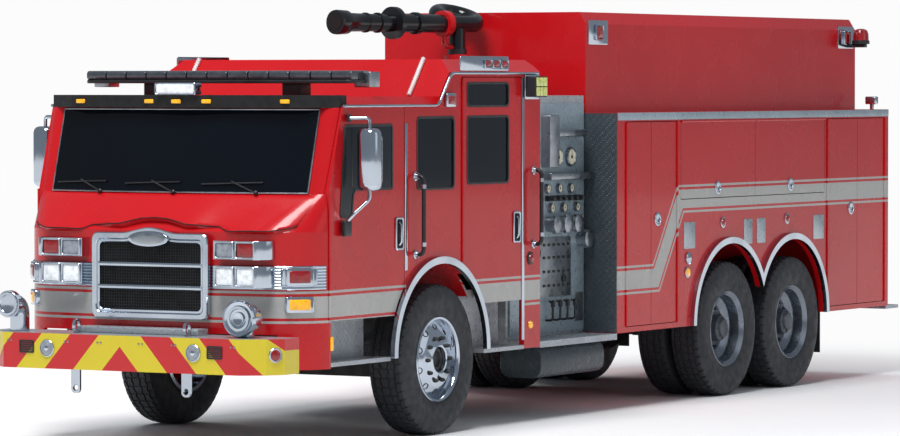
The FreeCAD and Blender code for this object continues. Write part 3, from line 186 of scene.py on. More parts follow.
def paint(name, stripe):
    """Gloss engine red with soft variation, and the grey stripe where the piece carries it."""
    finish = Finish(name, RED, 0.3)
    finish.set(Coat_Weight=0.3, Coat_Roughness=0.05, Specular_IOR_Level=0.3)
    red = finish.mottle(RED, SHADE_RED, 0.35, detail=0.0)
    finish.gloss(3.0, 0.22, 0.3)
    if stripe is not None:
        mask = stripe(finish)
        colour = finish.blend(mask, red, STRIPE_GREY)
        finish.join(colour, finish.shader.inputs["Base Color"])
    finish.dent(finish.clouds(220.0, 1.0), 0.02, 0.0005)
    return finish.material


def cab_stripe(finish):
    """The level stripe round the cab, outside only."""
    apart = finish.sum("SUBTRACT", finish.axes()[2], CAB_STRIPE)
    return finish.sum("MULTIPLY", band(finish, apart), facing(finish, CAB_MIDDLE))


def body_stripe(finish):
    """The stripe along the rear body: level, then slanting up, then level again, outside only."""
    across, along, up = finish.axes()
    low, high = 1.029, 1.655
    start, end = 3.515 + AXLE_Y, 3.95 + AXLE_Y
    slope = math.atan2(high - low, end - start)
    first = finish.sum("SUBTRACT", up, low)
    rise = finish.sum("MULTIPLY", first, math.cos(slope))
    run = finish.sum("MULTIPLY", finish.sum("SUBTRACT", along, start), math.sin(slope))
    second = finish.sum("SUBTRACT", rise, run)
    third = finish.sum("SUBTRACT", up, high)
    apart = finish.sum("MAXIMUM", finish.sum("MINIMUM", first, second), third)
    skin = 0.008
    outside = finish.sum("GREATER_THAN", finish.sum("ABSOLUTE", across), BODY_HALF - skin)
    return finish.sum("MULTIPLY", band(finish, apart), outside)


def chevrons():
    """Red and yellow bands on the bumper, rising to the middle."""
    finish = Finish("bumper_bands", RED, 0.32)
    finish.set(Coat_Weight=0.4, Coat_Roughness=0.1)
    across, _, up = finish.axes()
    slant, start, pitch = 0.88, 0.649, 0.49
    far = finish.sum("ADD", finish.sum("ABSOLUTE", across), finish.sum("MULTIPLY", up, slant))
    part = finish.sum("FRACT", finish.sum("DIVIDE", finish.sum("SUBTRACT", far, start), pitch))
    bands = finish.blend(finish.sum("LESS_THAN", part, 0.5), RED, YELLOW)
    level = finish.sum("GREATER_THAN", finish.axes(finish.place.outputs["Normal"])[2], 0.7)
    colour = finish.blend(level, bands, DECK_GREY)
    finish.join(colour, finish.shader.inputs["Base Color"])
    finish.gloss(9.0, 0.28, 0.4)
    finish.dent(finish.clouds(200.0, 2.0), 0.05, 0.001)
    return finish.material


def chrome():
    """Bright plated metal with a faint haze."""
    finish = Finish("chrome", linear(196, 204, 214), 0.12, 1.0)
    finish.mottle(linear(196, 205, 216), linear(176, 186, 198), 2.0)
    finish.gloss(6.0, 0.08, 0.16)
    finish.dent(finish.clouds(60.0, 2.0), 0.03, 0.001)
    return finish.material


def tread_plate(name="tread_plate", shade=(176, 182, 188), metal=0.45):
    """Bright sheet with short raised bars that lie two ways in turn."""
    finish = Finish(name, linear(*shade), 0.3, metal)
    finish.mottle(linear(*shade), linear(*(0.88 * part for part in shade)), 2.0)
    across, along, up = finish.axes()
    out_x, out_y, _ = finish.axes(finish.place.outputs["Normal"])
    on_side = finish.sum("GREATER_THAN", finish.sum("ABSOLUTE", out_x), 0.7)
    on_front = finish.sum("GREATER_THAN", finish.sum("ABSOLUTE", out_y), 0.7)
    first = finish.sum("ADD", finish.sum("MULTIPLY", along, on_side),
                       finish.sum("MULTIPLY", across, finish.sum("SUBTRACT", 1.0, on_side)))
    upright = finish.sum("MAXIMUM", on_side, on_front)
    second = finish.sum("ADD", finish.sum("MULTIPLY", up, upright),
                        finish.sum("MULTIPLY", along, finish.sum("SUBTRACT", 1.0, upright)))
    pitch = 0.03

    def fold(value, width, shift):
        """How far a value lies from the middle of the repeat that it falls in."""
        share = finish.sum("FRACT", finish.sum("ADD", finish.sum("DIVIDE", value, width), shift))
        return finish.sum("ABSOLUTE", finish.sum("SUBTRACT", share, 0.5))

    bars = None
    for turn, shift in ((1.0, 0.0), (-1.0, 0.5)):
        u = fold(finish.sum("ADD", first, finish.sum("MULTIPLY", second, turn)), 2 * pitch, shift)
        v = fold(finish.sum("SUBTRACT", second, finish.sum("MULTIPLY", first, turn)), pitch, 0.0)
        reach = finish.sum("ADD", finish.sum("MULTIPLY", u, 3.2), finish.sum("MULTIPLY", v, 4.5))
        bar = finish.spread(reach, 0.6, 1.0, 1.0, 0.0)
        bars = bar if bars is None else finish.sum("MAXIMUM", bars, bar)
    finish.gloss(20.0, 0.24, 0.42)
    finish.dent(bars, 0.5, 0.003)
    return finish.material


def plain(name, colour, darker, rough, metal=0.0, grain=200.0, depth=0.0006):
    """An even finish between two screen colours, with soft variation and a fine grain."""
    colour, darker = linear(*colour), linear(*darker)
    finish = Finish(name, colour, rough, metal)
    finish.mottle(colour, darker, 5.0)
    finish.gloss(16.0, rough * 0.8, min(1.0, rough * 1.2))
    finish.dent(finish.clouds(grain, 2.0), 0.15, depth)
    return finish.material


def tinted(name, colour, darker):
    """Deep tinted glass that shows nothing behind it, with a soft sheen."""
    colour, darker = linear(*colour), linear(*darker)
    finish = Finish(name, colour, 0.08)
    finish.set(Specular_IOR_Level=0.22)
    finish.mottle(colour, darker, 0.5, detail=0.0)
    finish.gloss(2.0, 0.06, 0.12)
    return finish.material


def window_glass():
    """Dark tinted glass that can be looked through a little."""
    finish = Finish("dark_glass", linear(14, 20, 28), 0.05)
    finish.set(Transmission_Weight=0.25, IOR=1.5, Specular_IOR_Level=0.35)
    finish.mottle(linear(16, 22, 31), linear(10, 15, 22), 0.8)
    return finish.material


def lens(name, colour, glow=0.0):
    """Ribbed lens with a little light of its own."""
    colour = linear(*colour)
    finish = Finish(name, colour, 0.12)
    finish.set(Coat_Weight=0.8, Coat_Roughness=0.04, Emission_Color=colour, Emission_Strength=glow)
    finish.mottle(colour, tuple(0.6 * c for c in colour[:3]) + (1.0,), 30.0)
    rib_turns = 700.0
    ribs = finish.sum("SINE", finish.sum("MULTIPLY", finish.axes()[2], rib_turns))
    finish.dent(ribs, 0.2, 0.001)
    return finish.material


def dress(finish, *names):
    """Give whole nodes one finish."""
    for name in names:
        node = nodes[name]
        node.data.materials.clear()
        node.data.materials.append(finish)


def by_prefix(*words):
    """The nodes whose names begin with any of these words."""
    return [name for name in nodes if name.startswith(words)]


CAB_PAINT = paint("cab_paint", cab_stripe)
BODY_PAINT = paint("body_paint", body_stripe)
PLAIN_PAINT = paint("plain_paint", None)
CHROME = chrome()
TREAD = tread_plate()
GLASS = window_glass()
SATIN_BLACK = plain("satin_black", (34, 36, 40), (20, 21, 24), 0.42)
# Satin chassis black, also used as the painted shade of the front wheels' hand holes.
FRAME_BLACK_AND_HOLE_SHADE = plain("frame_black_and_hole_shade", (30, 31, 34), (18, 19, 22), 0.5)
RUBBER = plain("rubber", (40, 42, 46), (35, 37, 41), 0.62, grain=320.0)
BRUSHED = plain("brushed_metal", (168, 174, 180), (130, 136, 142), 0.32, metal=1.0)
CAST = plain("cast_metal", (96, 100, 106), (70, 74, 80), 0.5, metal=0.6)
VINYL = plain("seat_vinyl", (58, 60, 66), (40, 42, 48), 0.6, grain=420.0)

# Near-black, for black parts and for painted shade: inside the grille, in the monitor's mouth and in the door
# pulls' recesses.
BLACK_AND_SHADE = plain("black_and_painted_shade", (10, 11, 13), (5, 6, 7), 0.7)
GLOSS_BLACK = plain("gloss_black", (24, 26, 29), (16, 17, 20), 0.18)
HOOD_PAINT = paint("hood_paint", None)
SCREEN_GLASS = tinted("screen_glass", (5, 9, 15), (8, 13, 21))
SIDE_GLASS = tinted("side_glass", (40, 47, 53), (32, 39, 45))
PANEL_TREAD = tread_plate("panel_tread", (158, 174, 184), 0.3)
WHEEL_GREY = plain("wheel_grey", (132, 140, 150), (112, 120, 130), 0.24, metal=0.85)
# Tread plate with its shade painted in: a darker copy of the bright tread, for the bulkhead and the sheet
# under the pump.
SHADED_TREAD = tread_plate("tread_with_painted_shade", (66, 76, 82), 0.3)
WHITE_PAINT = plain("white_paint", (236, 232, 232), (220, 214, 214), 0.35)
PALE_PAINT = plain("pale_plate", (176, 186, 192), (160, 170, 178), 0.3, metal=0.6)
CREAM = plain("gauge_cream", (232, 226, 200), (214, 208, 182), 0.4)
CELL_LENS = lens("cell_lens", (206, 214, 120), 0.15)
WHITE_LENS = lens("white_lens", (236, 240, 244), 0.25)
RED_LENS = lens("red_lens", (150, 8, 18), 0.04)
AMBER_LENS = lens("amber_lens", (250, 178, 20), 0.35)
CLEAR_LENS = lens("clear_lens", (150, 158, 168))
SMOKED_LENS = lens("smoked_lens", (66, 72, 80))

dress(CAB_PAINT, "cab_shell", *by_prefix("door_front", "door_rear"))
dress(BODY_PAINT, "body_left", "body_right", *by_prefix("locker_", "lift_door"))
dress(PLAIN_PAINT, "water_tank")
dress(GLASS, "cab_glass", *by_prefix("door_glass"))
dress(chevrons(), "bumper")
dress(CHROME, "lamps", "bumper_fittings", "wheel_arches", *by_prefix("mirror", "rim"))
dress(TREAD, "steps", "pump_house")
dress(SATIN_BLACK, "grab_rails")
dress(BLACK_AND_SHADE, "sun_visor")
dress(RUBBER, "mud_flaps", *by_prefix("tyre"))
dress(FRAME_BLACK_AND_HOLE_SHADE, "chassis_frame", "axles", "engine_block", *by_prefix("knuckle"))
dress(BRUSHED, "pump_controls")
dress(VINYL, "cab_interior")
dress(SATIN_BLACK, "monitor_barrel", "monitor_base")

# Shapes: closed surfaces worked out as whole arrays. From here on y is counted from the front axle.

ACROSS = {"x": (0, 1, 2), "y": (1, 0, 2), "z": (2, 0, 1)}


def lattice(rows, columns, round_rows, round_columns):
    """Quads between neighbouring points of a grid, joined end to end where it is round."""
    row = np.arange(rows if round_rows else rows - 1)[:, None]
    column = np.arange(columns if round_columns else columns - 1)[None, :]
    below, beside = (row + 1) % rows * columns, (column + 1) % columns
    corners = (row * columns + column, row * columns + beside, below + beside, below + column)
    return np.stack(np.broadcast_arrays(*corners), axis=-1).reshape(-1, 4).tolist()


def closed(points, ring=False):
    """A grid whose columns run round, with a face over each end, or its last row joined to its first."""
    rows, columns = points.shape[:2]
    faces = lattice(rows, columns, ring, True)
    if not ring:
        faces.append(list(range(columns))[::-1])
        faces.append(list(range((rows - 1) * columns, rows * columns)))
    return points.reshape(-1, 3), faces


def basis(axis):
    """Three unit vectors: along an axis, given as a letter or a direction, and the two across it."""
    if isinstance(axis, str):
        return np.eye(3)[list(ACROSS[axis])]
    forward = np.array(axis, float) / np.linalg.norm(axis)
    side = np.cross((0.0, 0.0, 1.0) if abs(forward[2]) < 0.9 else (0.0, 1.0, 0.0), forward)
    side /= np.linalg.norm(side)
    return np.array([forward, side, np.cross(forward, side)])


def turned(profile, axis, centre, steps=40):
    """A profile (a, r) turned about an axis: a along it, r cos t and r sin t across it."""
    along, radius = np.array(profile, float).T[..., None, None]
    turn = np.linspace(0.0, 2.0 * np.pi, steps, endpoint=False)[:, None]
    forward, side, up = basis(axis)
    return closed(along * forward + radius * (np.cos(turn) * side + np.sin(turn) * up) + np.array(centre))


def rounded(left, right, low, high, radius, steps=6):
    """A rectangle's outline, anticlockwise, each corner a quarter circle."""
    quarter = np.linspace(0.0, np.pi / 2, steps)[None, :] + np.arange(4)[:, None] * np.pi / 2
    middles = np.array([(right - radius, high - radius), (left + radius, high - radius),
                        (left + radius, low + radius), (right - radius, low + radius)])
    arcs = middles[:, None] + radius * np.stack([np.cos(quarter), np.sin(quarter)], axis=-1)
    return arcs.reshape(-1, 2)


def oval(u, v, half_u, half_v, steps=36):
    """An ellipse's outline: u + a cos t, v + b sin t."""
    turn = np.linspace(0.0, 2.0 * np.pi, steps, endpoint=False)
    return np.stack([u + half_u * np.cos(turn), v + half_v * np.sin(turn)], axis=-1)


def inset(outline, depth):
    """The outline moved inwards by a depth, square to the line between its neighbours."""
    step = np.roll(outline, -1, axis=0) - np.roll(outline, 1, axis=0)
    normal = np.stack([step[:, 1], -step[:, 0]], axis=-1) / np.linalg.norm(step, axis=1, keepdims=True)
    return outline - depth * normal


def stacked(rings, places, axis, ring=False):
    """Outlines (u, v), one at each place a along an axis: a f + u s + v w, with f, s, w from basis."""
    forward, side, up = basis(axis)
    rings = np.stack(rings)
    points = np.array(places)[:, None, None] * forward + rings[..., :1] * side + rings[..., 1:] * up
    return closed(points, ring)


def solid(outline, axis, low, high, edge=0.004):
    """An outline drawn from low to high, its rims rounded: at angle t a ring lies edge (1 - sin t)
    inside the outline and edge (1 - cos t) from the end."""
    turn = np.linspace(0.0, np.pi / 2, 4)
    depth, rise = edge * (1.0 - np.sin(turn)), edge * (1.0 - np.cos(turn))
    depths = np.concatenate([depth, depth[::-1]])
    places = np.concatenate([low + rise, high - rise[::-1]])
    return stacked([inset(outline, one) for one in depths], places, axis)


def block(low, high, axis="x", radius=0.006, edge=0.004, steps=4):
    """A box between two corners, its edges along an axis rounded by the radius, its ends by the edge."""
    along, side, up = ACROSS[axis]
    outline = rounded(low[side], high[side], low[up], high[up], radius, steps)
    return solid(outline, axis, low[along], high[along], edge)


def rim(outer, inner, axis, low, high, edge=0.004):
    """A frame between two outlines with as many points, each of its four edges bevelled."""
    rings = [inset(outer, edge), outer, outer, inset(outer, edge), inset(inner, -edge), inner, inner,
             inset(inner, -edge)]
    places = [low, low + edge, high - edge, high, high, high - edge, low + edge, low]
    return stacked(rings, places, axis, ring=True)


def bezel(left, right, low, high, wall, radii, axis, near, far, edge):
    """A frame whose wall is as wide all round, with an outer and an inner corner radius."""
    return rim(rounded(left, right, low, high, radii[0]),
               rounded(left + wall, right - wall, low + wall, high - wall, radii[1]), axis, near, far, edge)


def dome(outline, axis, base, rise):
    """A lens: its outline shrunk by s towards its middle stands rise sqrt(1 - s^4) above the base."""
    share = np.array([1.0, 0.985, 0.93, 0.8, 0.55, 0.25, 0.03])
    middle = outline.mean(axis=0)
    rings = middle + share[:, None, None] * (outline - middle)
    return stacked(list(rings), base + rise * np.sqrt(1.0 - share ** 4), axis)


def bend(path, trim):
    """A path of straight runs whose corners are rounded: (1-t)^2 a + 2t(1-t) corner + t^2 b."""
    path = np.array(path, float)
    share = np.linspace(0.0, 1.0, 8)[:, None]
    runs = [path[:1]]
    for before, corner, after in zip(path, path[1:], path[2:]):
        first = corner + trim * (before - corner) / np.linalg.norm(before - corner)
        last = corner + trim * (after - corner) / np.linalg.norm(after - corner)
        runs.append((1 - share) ** 2 * first + 2 * share * (1 - share) * corner + share ** 2 * last)
    return np.concatenate(runs + [path[-1:]])


def tube(path, radius, trim=0.04, sides=12):
    """A round bar along a path: path + r (cos t n + sin t b), n square to the plane that it lies in."""
    route = bend(path, trim)
    flat = np.linalg.svd(route - route.mean(axis=0))[2][2]
    run = np.gradient(route, axis=0)
    side = np.cross(run / np.linalg.norm(run, axis=1, keepdims=True), flat)
    side /= np.linalg.norm(side, axis=1, keepdims=True)
    turn = np.linspace(0.0, 2.0 * np.pi, sides, endpoint=False)[:, None]
    return closed(route[:, None] + radius * (np.cos(turn) * flat + np.sin(turn) * side[:, None]))


def swung(shape, degrees, centre, axis="z"):
    """The shape turned by t about a line along an axis: (u cos t - v sin t, u sin t + v cos t)."""
    turn = math.radians(degrees)
    _, first, second = ACROSS[axis]
    spin = np.eye(3)
    spin[first, [first, second]] = math.cos(turn), math.sin(turn)
    spin[second, [first, second]] = -math.sin(turn), math.cos(turn)
    return (shape[0] - centre) @ spin + centre, shape[1]


def both(*shapes):
    """The shapes and their mirror images across the truck's middle."""
    return list(shapes) + [(points * (-1.0, 1.0, 1.0), faces) for points, faces in shapes]


def on_side(side, shapes):
    """Shapes worked out for the left side, moved to the side asked for."""
    return [(points * (side, 1.0, 1.0), faces) for points, faces in shapes]


def six_volumes(points, faces):
    """Six times the volume that the faces hold: the sum of a . (b x c) over their triangles."""
    total = 0.0
    for size in {len(face) for face in faces}:
        corners = np.array([face for face in faces if len(face) == size])
        first, second, third = points[corners[:, :1]], points[corners[:, 1:-1]], points[corners[:, 2:]]
        total += float((first * np.cross(second, third)).sum())
    return total


def piece(name, finish, shapes, body="root", over=(), sharp=38.0):
    """One piece of closed shapes, all facing outwards, that rides on a body and may stand for CAD nodes."""
    points, faces, count = [], [], 0
    for shape_points, shape_faces in shapes:
        inside_out = six_volumes(shape_points - shape_points.mean(axis=0), shape_faces) < 0.0
        for face in shape_faces:
            faces.append([count + corner for corner in (face[::-1] if inside_out else face)])
        points.append(shape_points + (0.0, AXLE_Y, 0.0))
        count += len(shape_points)
    mesh = bpy.data.meshes.new(name)
    mesh.from_pydata(np.concatenate(points).tolist(), [], faces)
    mesh.polygons.foreach_set("use_smooth", [True] * len(faces))
    mesh.set_sharp_from_angle(angle=math.radians(sharp))
    mesh.materials.append(finish)
    thing = bpy.data.objects.new(name, mesh)
    bpy.context.scene.collection.objects.link(thing)
    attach(thing, body)
    if over:
        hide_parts(*over)
    return thing


SIDES = {"left": 1.0, "right": -1.0}

# The wheels

TYRE_RADIUS = 0.559
AXLES = {"front": 0.0, "middle": 4.841, "rear": 6.086}
TREAD_DEEP = 0.011
PITCHES = 50


def tyre(middle_x, axle, wide):
    """A tyre about a level axis: walls that bulge, and a tread of five ribs whose grooves zigzag.

    A point lies at (x + w, y + r cos t, R + r sin t). Grooves lower r by the tread's depth, and each
    pitch has a notch across the outer ribs and, half a pitch on, one across the inner ribs.
    """
    half = wide / 2.0
    flat = half - 0.024
    wall_w = half - np.array([0.034, 0.014, 0.009, 0.003, 0.0, 0.002, 0.007, 0.012, 0.014])
    wall_r = np.array([0.3, 0.32, 0.345, 0.39, 0.43, 0.468, 0.5, 0.516, 0.53])
    groove = np.array([-0.007, -0.004, 0.004, 0.007])
    centres = flat * np.array([-0.7, -0.26, 0.26, 0.7])
    ribs = flat * np.array([-1.0, -0.85, -0.48, 0.0, 0.48, 0.85, 1.0])
    tread = np.concatenate([ribs[:2], centres[0] + groove, ribs[2:3], centres[1] + groove, ribs[3:4],
                            centres[2] + groove, ribs[4:5], centres[3] + groove, ribs[5:]])
    sunk = np.array([0] + [0, 0, 1, 1, 0] * 4 + [0, 0])
    in_groove = np.array([0] + ([0] + [1] * 4 + [0] + [-1] * 4) * 2 + [0, 0])
    share = np.array([0.0, 0.03, 0.18, 0.21, 0.5, 0.53, 0.68, 0.71])
    turn = ((np.arange(PITCHES)[:, None] + share) * 2.0 * np.pi / PITCHES).ravel()[:, None]
    place = np.tile(share, PITCHES)[:, None]
    outer_notch = ((place > 0.02) & (place < 0.19)) & (np.abs(tread) > 0.66 * flat)
    inner_notch = ((place > 0.52) & (place < 0.69)) & (np.abs(tread) < 0.74 * flat)
    low = np.maximum(sunk, np.maximum(outer_notch * 0.9, inner_notch * 0.55))
    crown = TYRE_RADIUS - 0.01 * (tread / flat) ** 4 - TREAD_DEEP * low
    zigzag = 0.006 * (4.0 * np.abs(place - 0.5) - 1.0) * in_groove
    rows = len(turn)
    wall = np.broadcast_to(np.stack([wall_w, wall_r], axis=-1), (rows, len(wall_w), 2))
    tread_grid = np.stack([tread + zigzag, crown], axis=-1)
    section = np.concatenate([wall * (-1.0, 1.0), tread_grid, wall[:, ::-1]], axis=1)
    w, r = section[..., 0], section[..., 1]
    points = np.stack([middle_x + w, axle + r * np.cos(turn), TYRE_RADIUS + r * np.sin(turn)], axis=-1)
    return closed(points, ring=True)


def around(axle, ring, count, shift=0.0):
    """Places (y, z) set evenly round a wheel's middle, and the turn of each."""
    turn = 2.0 * np.pi * (np.arange(count) + shift) / count
    return zip(axle + ring * np.cos(turn), TYRE_RADIUS + ring * np.sin(turn), turn)


def disc(profile, side, x, y, z, steps):
    """A profile (a, r) turned about a line across the truck, a counted outwards on either side."""
    return turned([(side * a, r) for a, r in profile], "x", (x, y, z), steps)


def front_rim(face_x, side):
    """A front wheel: bright flange, a disc that comes out to its nut ring, and a hollow hub."""
    profile = [(-0.045, 0.02), (-0.045, 0.088), (0.004, 0.094), (0.01, 0.104), (-0.006, 0.126),
               (-0.01, 0.198), (-0.018, 0.214), (-0.05, 0.262), (-0.062, 0.281), (-0.022, 0.288),
               (-0.004, 0.298), (0.0, 0.312), (-0.008, 0.318), (-0.02, 0.304), (-0.27, 0.304),
               (-0.29, 0.318), (-0.292, 0.288), (-0.07, 0.284), (-0.072, 0.02)]
    return disc(profile, side, face_x, 0.0, TYRE_RADIUS, 72)


def front_nuts_and_hole_shade(face_x, side):
    """Dark discs on the slope of the disc, the painted shade of its hand holes, the ten nuts and the dark
    middle of the hub.
    """
    shapes = []
    # The hand holes are not cut through: each is a thin dark disc on the disc's slope, the hole's shade
    # painted.
    for y, z, turn in around(0.0, 0.239, 10, 0.5):
        tilt = (side * 0.8, 0.6 * math.cos(turn), 0.6 * math.sin(turn))
        shapes.append(turned([(-0.004, 0.025), (0.003, 0.025), (0.003, 0.021), (-0.002, 0.018)], tilt,
                             (face_x - side * 0.0345, y, z), 20))
    nut = [(-0.004, 0.017), (0.016, 0.017), (0.02, 0.014), (0.03, 0.011), (0.033, 0.005)]
    for y, z, _ in around(0.0, 0.162, 10):
        shapes.append(disc(nut, side, face_x - side * 0.01, y, z, 6))
    hub = [(-0.046, 0.086), (-0.02, 0.086), (-0.02, 0.06), (-0.034, 0.052), (-0.034, 0.03)]
    shapes.append(disc(hub, side, face_x, 0.0, TYRE_RADIUS, 40))
    return shapes


def rear_rim(face_x, axle, side):
    """A twin wheel's outer rim: a deep dish with its disc far inside, and the rim of the inner wheel."""
    dish = [(-0.15, 0.02), (-0.15, 0.205), (-0.12, 0.24), (-0.11, 0.262), (-0.03, 0.276),
            (-0.012, 0.296), (0.0, 0.31), (-0.006, 0.318), (-0.02, 0.304), (-0.236, 0.304),
            (-0.254, 0.318), (-0.256, 0.285), (-0.17, 0.262), (-0.165, 0.02)]
    inner = [(-0.3, 0.02), (-0.3, 0.262), (-0.312, 0.304), (-0.545, 0.304), (-0.562, 0.318),
             (-0.566, 0.285), (-0.33, 0.258), (-0.32, 0.02)]
    return [disc(profile, side, face_x, axle, TYRE_RADIUS, 72) for profile in (dish, inner)]


def rear_hub(face_x, axle, side):
    """The stepped hub in a twin wheel's dish, with its ring of nuts and its flange bolts."""
    hub = [(-0.152, 0.135), (-0.13, 0.135), (-0.126, 0.112), (-0.06, 0.104), (-0.052, 0.096),
           (-0.048, 0.076), (-0.03, 0.07), (-0.026, 0.02)]
    shapes = [disc(hub, side, face_x, axle, TYRE_RADIUS, 40)]
    nut = [(-0.002, 0.016), (0.016, 0.016), (0.026, 0.01)]
    for ring, where, count, size in ((0.168, -0.15, 10, 1.0), (0.086, -0.052, 8, 0.5)):
        for y, z, _ in around(axle, ring, count):
            bolt = [(a * size, r * size) for a, r in nut]
            shapes.append(disc(bolt, side, face_x + side * where, y, z, 6))
    return shapes


def make_wheels():
    """Six wheels a truck: single tyres ahead, twins behind."""
    twin_wide, twin_gap = 0.28, 0.03
    for word, side in SIDES.items():
        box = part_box("tyre_front_" + word)
        middle, wide = (box[0].x + box[1].x) / 2.0, box[1].x - box[0].x
        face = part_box("rim_front_" + word)[side > 0].x
        body = "wheel_front_" + word
        piece("front_tyre_" + word, RUBBER, [tyre(middle, 0.0, wide)], body, ["tyre_front_" + word])
        piece("front_rim_" + word, CHROME, [front_rim(face, side)], body, ["rim_front_" + word])
        # Black nuts and hub middle, with dark discs of painted shade for the hand holes.
        piece("front_nuts_" + word, FRAME_BLACK_AND_HOLE_SHADE, front_nuts_and_hole_shade(face, side), body)
        for row in ("middle", "rear"):
            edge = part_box("tyres_%s_%s" % (row, word))[side > 0].x
            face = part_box("rims_%s_%s" % (row, word))[side > 0].x
            pair = [tyre(edge - side * (twin_wide / 2 + gap), AXLES[row], twin_wide)
                    for gap in (0.0, twin_wide + twin_gap)]
            name = "%s_%s" % (row, word)
            body = "wheels_" + name
            piece("twin_tyres_" + name, RUBBER, pair, body, ["tyres_" + name])
            piece("twin_rims_" + name, WHEEL_GREY, rear_rim(face, AXLES[row], side), body, ["rims_" + name])
            piece("twin_hub_" + name, CAST, rear_hub(face, AXLES[row], side), body)


# The nose with its grille and lamps, the mirrors, the light bar and the roof monitor

NOSE_HALF, NOSE_Y, NOSE_BOW = 0.86, -1.95, 0.05


def nose(share):
    """The cab's plan outline from its middle (0) by the end of the bow (1) to its side (2), and its normal.

    The bow is y = y0 + rise (x / half)^2, the corner nearly a quarter of a circle.
    """
    share = np.array(share, float)
    bow_x = NOSE_HALF * np.clip(share, 0.0, 1.0)
    bow = np.stack([bow_x, NOSE_Y + NOSE_BOW * (bow_x / NOSE_HALF) ** 2], axis=-1)
    turn = math.radians(-88.7) + np.clip(share - 1.0, 0.0, 1.0) * math.radians(78.6)
    middle_x, middle_y, radius = 0.851, -1.5, 0.4
    corner = np.stack([middle_x + radius * np.cos(turn), middle_y + radius * np.sin(turn)], axis=-1)
    slope = 2.0 * NOSE_BOW * bow_x / NOSE_HALF ** 2
    flat = np.stack([slope, -np.ones_like(slope)], axis=-1) / np.hypot(slope, 1.0)[:, None]
    round_out = np.stack([np.cos(turn), np.sin(turn)], axis=-1)
    past = share[:, None] > 1.0
    return np.where(past, corner, bow), np.where(past, round_out, flat)


def along_nose(share, section):
    """A section (out, z) carried round the nose: at each share a point is the outline's place + out n."""
    place, out = nose(share)
    section = np.array(section, float)
    flat = place[:, None] + section[None, :, :1] * out[:, None]
    up = np.broadcast_to(section[:, 1], flat.shape[:2])
    return closed(np.concatenate([flat, up[..., None]], axis=-1))


def ribbed(low, high, ribs, base, proud):
    """A section with level ribs: out = base + proud |sin|, closed at the back."""
    share = np.linspace(0.0, 1.0, ribs * 8 + 1)
    out = base + proud * np.abs(np.sin(share * ribs * np.pi)) ** 0.7
    front = np.stack([out, low + (high - low) * share], axis=-1)
    return np.concatenate([[(0.0005, low)], front, [(0.0005, high)]])


HOOD_COLUMNS, HOOD_ROWS = 117, 15
SCREEN_BASE_HALF, SCREEN_BASE_Y, SCREEN_BASE_BOW = 1.118, -1.75, 0.15


def hood_panel():
    """The raised panel under the windscreen: its lower edge steps up over the grille's hump.

    A point is (1 - t) of the lower outline and t of the windscreen's base, both bowed, with
    t = (z - 1.545) / 0.265, and lies 7 mm proud of the cab.
    """
    share = np.linspace(-1.45, 1.45, HOOD_COLUMNS)
    low_place, low_out = nose(np.abs(share))
    low_place[:, 0] *= np.sign(share)
    low_out[:, 0] *= np.sign(share)
    bow = np.clip(np.abs(share), 0.0, 1.0)
    past = np.clip(np.abs(share) - 1.0, 0.0, 1.0)
    base_x = np.sign(share) * (SCREEN_BASE_HALF * bow + 0.127 * past)
    base_y = SCREEN_BASE_Y + SCREEN_BASE_BOW * bow ** 2 + 0.055 * past
    x = np.abs(low_place[:, 0])
    shelf = np.interp(x, [0.0, 0.1, 0.265, 0.52, 0.62, 0.94, 1.05, 1.13, 1.2],
                      [1.612, 1.606, 1.566, 1.563, 1.527, 1.527, 1.55, 1.6, 1.66])
    climb = np.linspace(0.0, 1.0, HOOD_ROWS)
    rows = np.concatenate([climb, climb[::-1]])
    proud = np.concatenate([[-0.003], np.full(HOOD_ROWS - 2, 0.007), [0.001], np.full(HOOD_ROWS, -0.012)])
    level = shelf[:, None] + (1.806 - shelf[:, None]) * rows
    lift = np.clip((level - 1.545) / 0.265, 0.0, 1.0)
    crown = 0.004 * np.sin(np.pi * rows) ** 0.5
    fold = 0.026 * np.exp(-(x / 0.4) ** 6) + 0.012 * np.exp(-((x - 0.86) / 0.2) ** 4)
    fold = fold[:, None] * np.clip(1.0 - rows, 0.0, 1.0) ** 0.8
    out = proud + np.where(proud > 0.0, crown + fold, 0.0)
    flat_x = (1 - lift) * low_place[:, :1] + lift * base_x[:, None] + out * low_out[:, :1]
    flat_y = (1 - lift) * low_place[:, 1:] + lift * base_y[:, None] + out * low_out[:, 1:]
    return closed(np.stack([flat_x, flat_y, level + 0.5 * np.abs(out) * (lift > 0)], axis=-1))


def hood_seam():
    """The dark joint under the panel's lower edge: a thin round bar along that edge's points."""
    points = hood_panel()[0].reshape(HOOD_COLUMNS, 2 * HOOD_ROWS, 3)[:, 1]
    return tube(points + (0.0, -0.001, -0.004), 0.0045, 0.004, 8)


def resampled(outline, count=120):
    """The same outline as evenly spaced points."""
    loop = np.concatenate([outline, outline[:1]])
    reach = np.concatenate([[0.0], np.cumsum(np.linalg.norm(np.diff(loop, axis=0), axis=1))])
    where = np.linspace(0.0, reach[-1], count, endpoint=False)
    return np.stack([np.interp(where, reach, loop[:, 0]), np.interp(where, reach, loop[:, 1])], axis=-1)


def humped(half, low, high, radius, rise):
    """A grille outline whose top swells by rise (1 + cos(pi x / 0.25)) / 2 over its middle."""
    outline = resampled(rounded(-half, half, low, high, radius, 7))
    swell = rise * 0.5 * (1.0 + np.cos(np.pi * np.clip(np.abs(outline[:, 0]) / 0.25, 0.0, 1.0)))
    outline[:, 1] += swell * (outline[:, 1] > (low + high) / 2.0)
    return outline


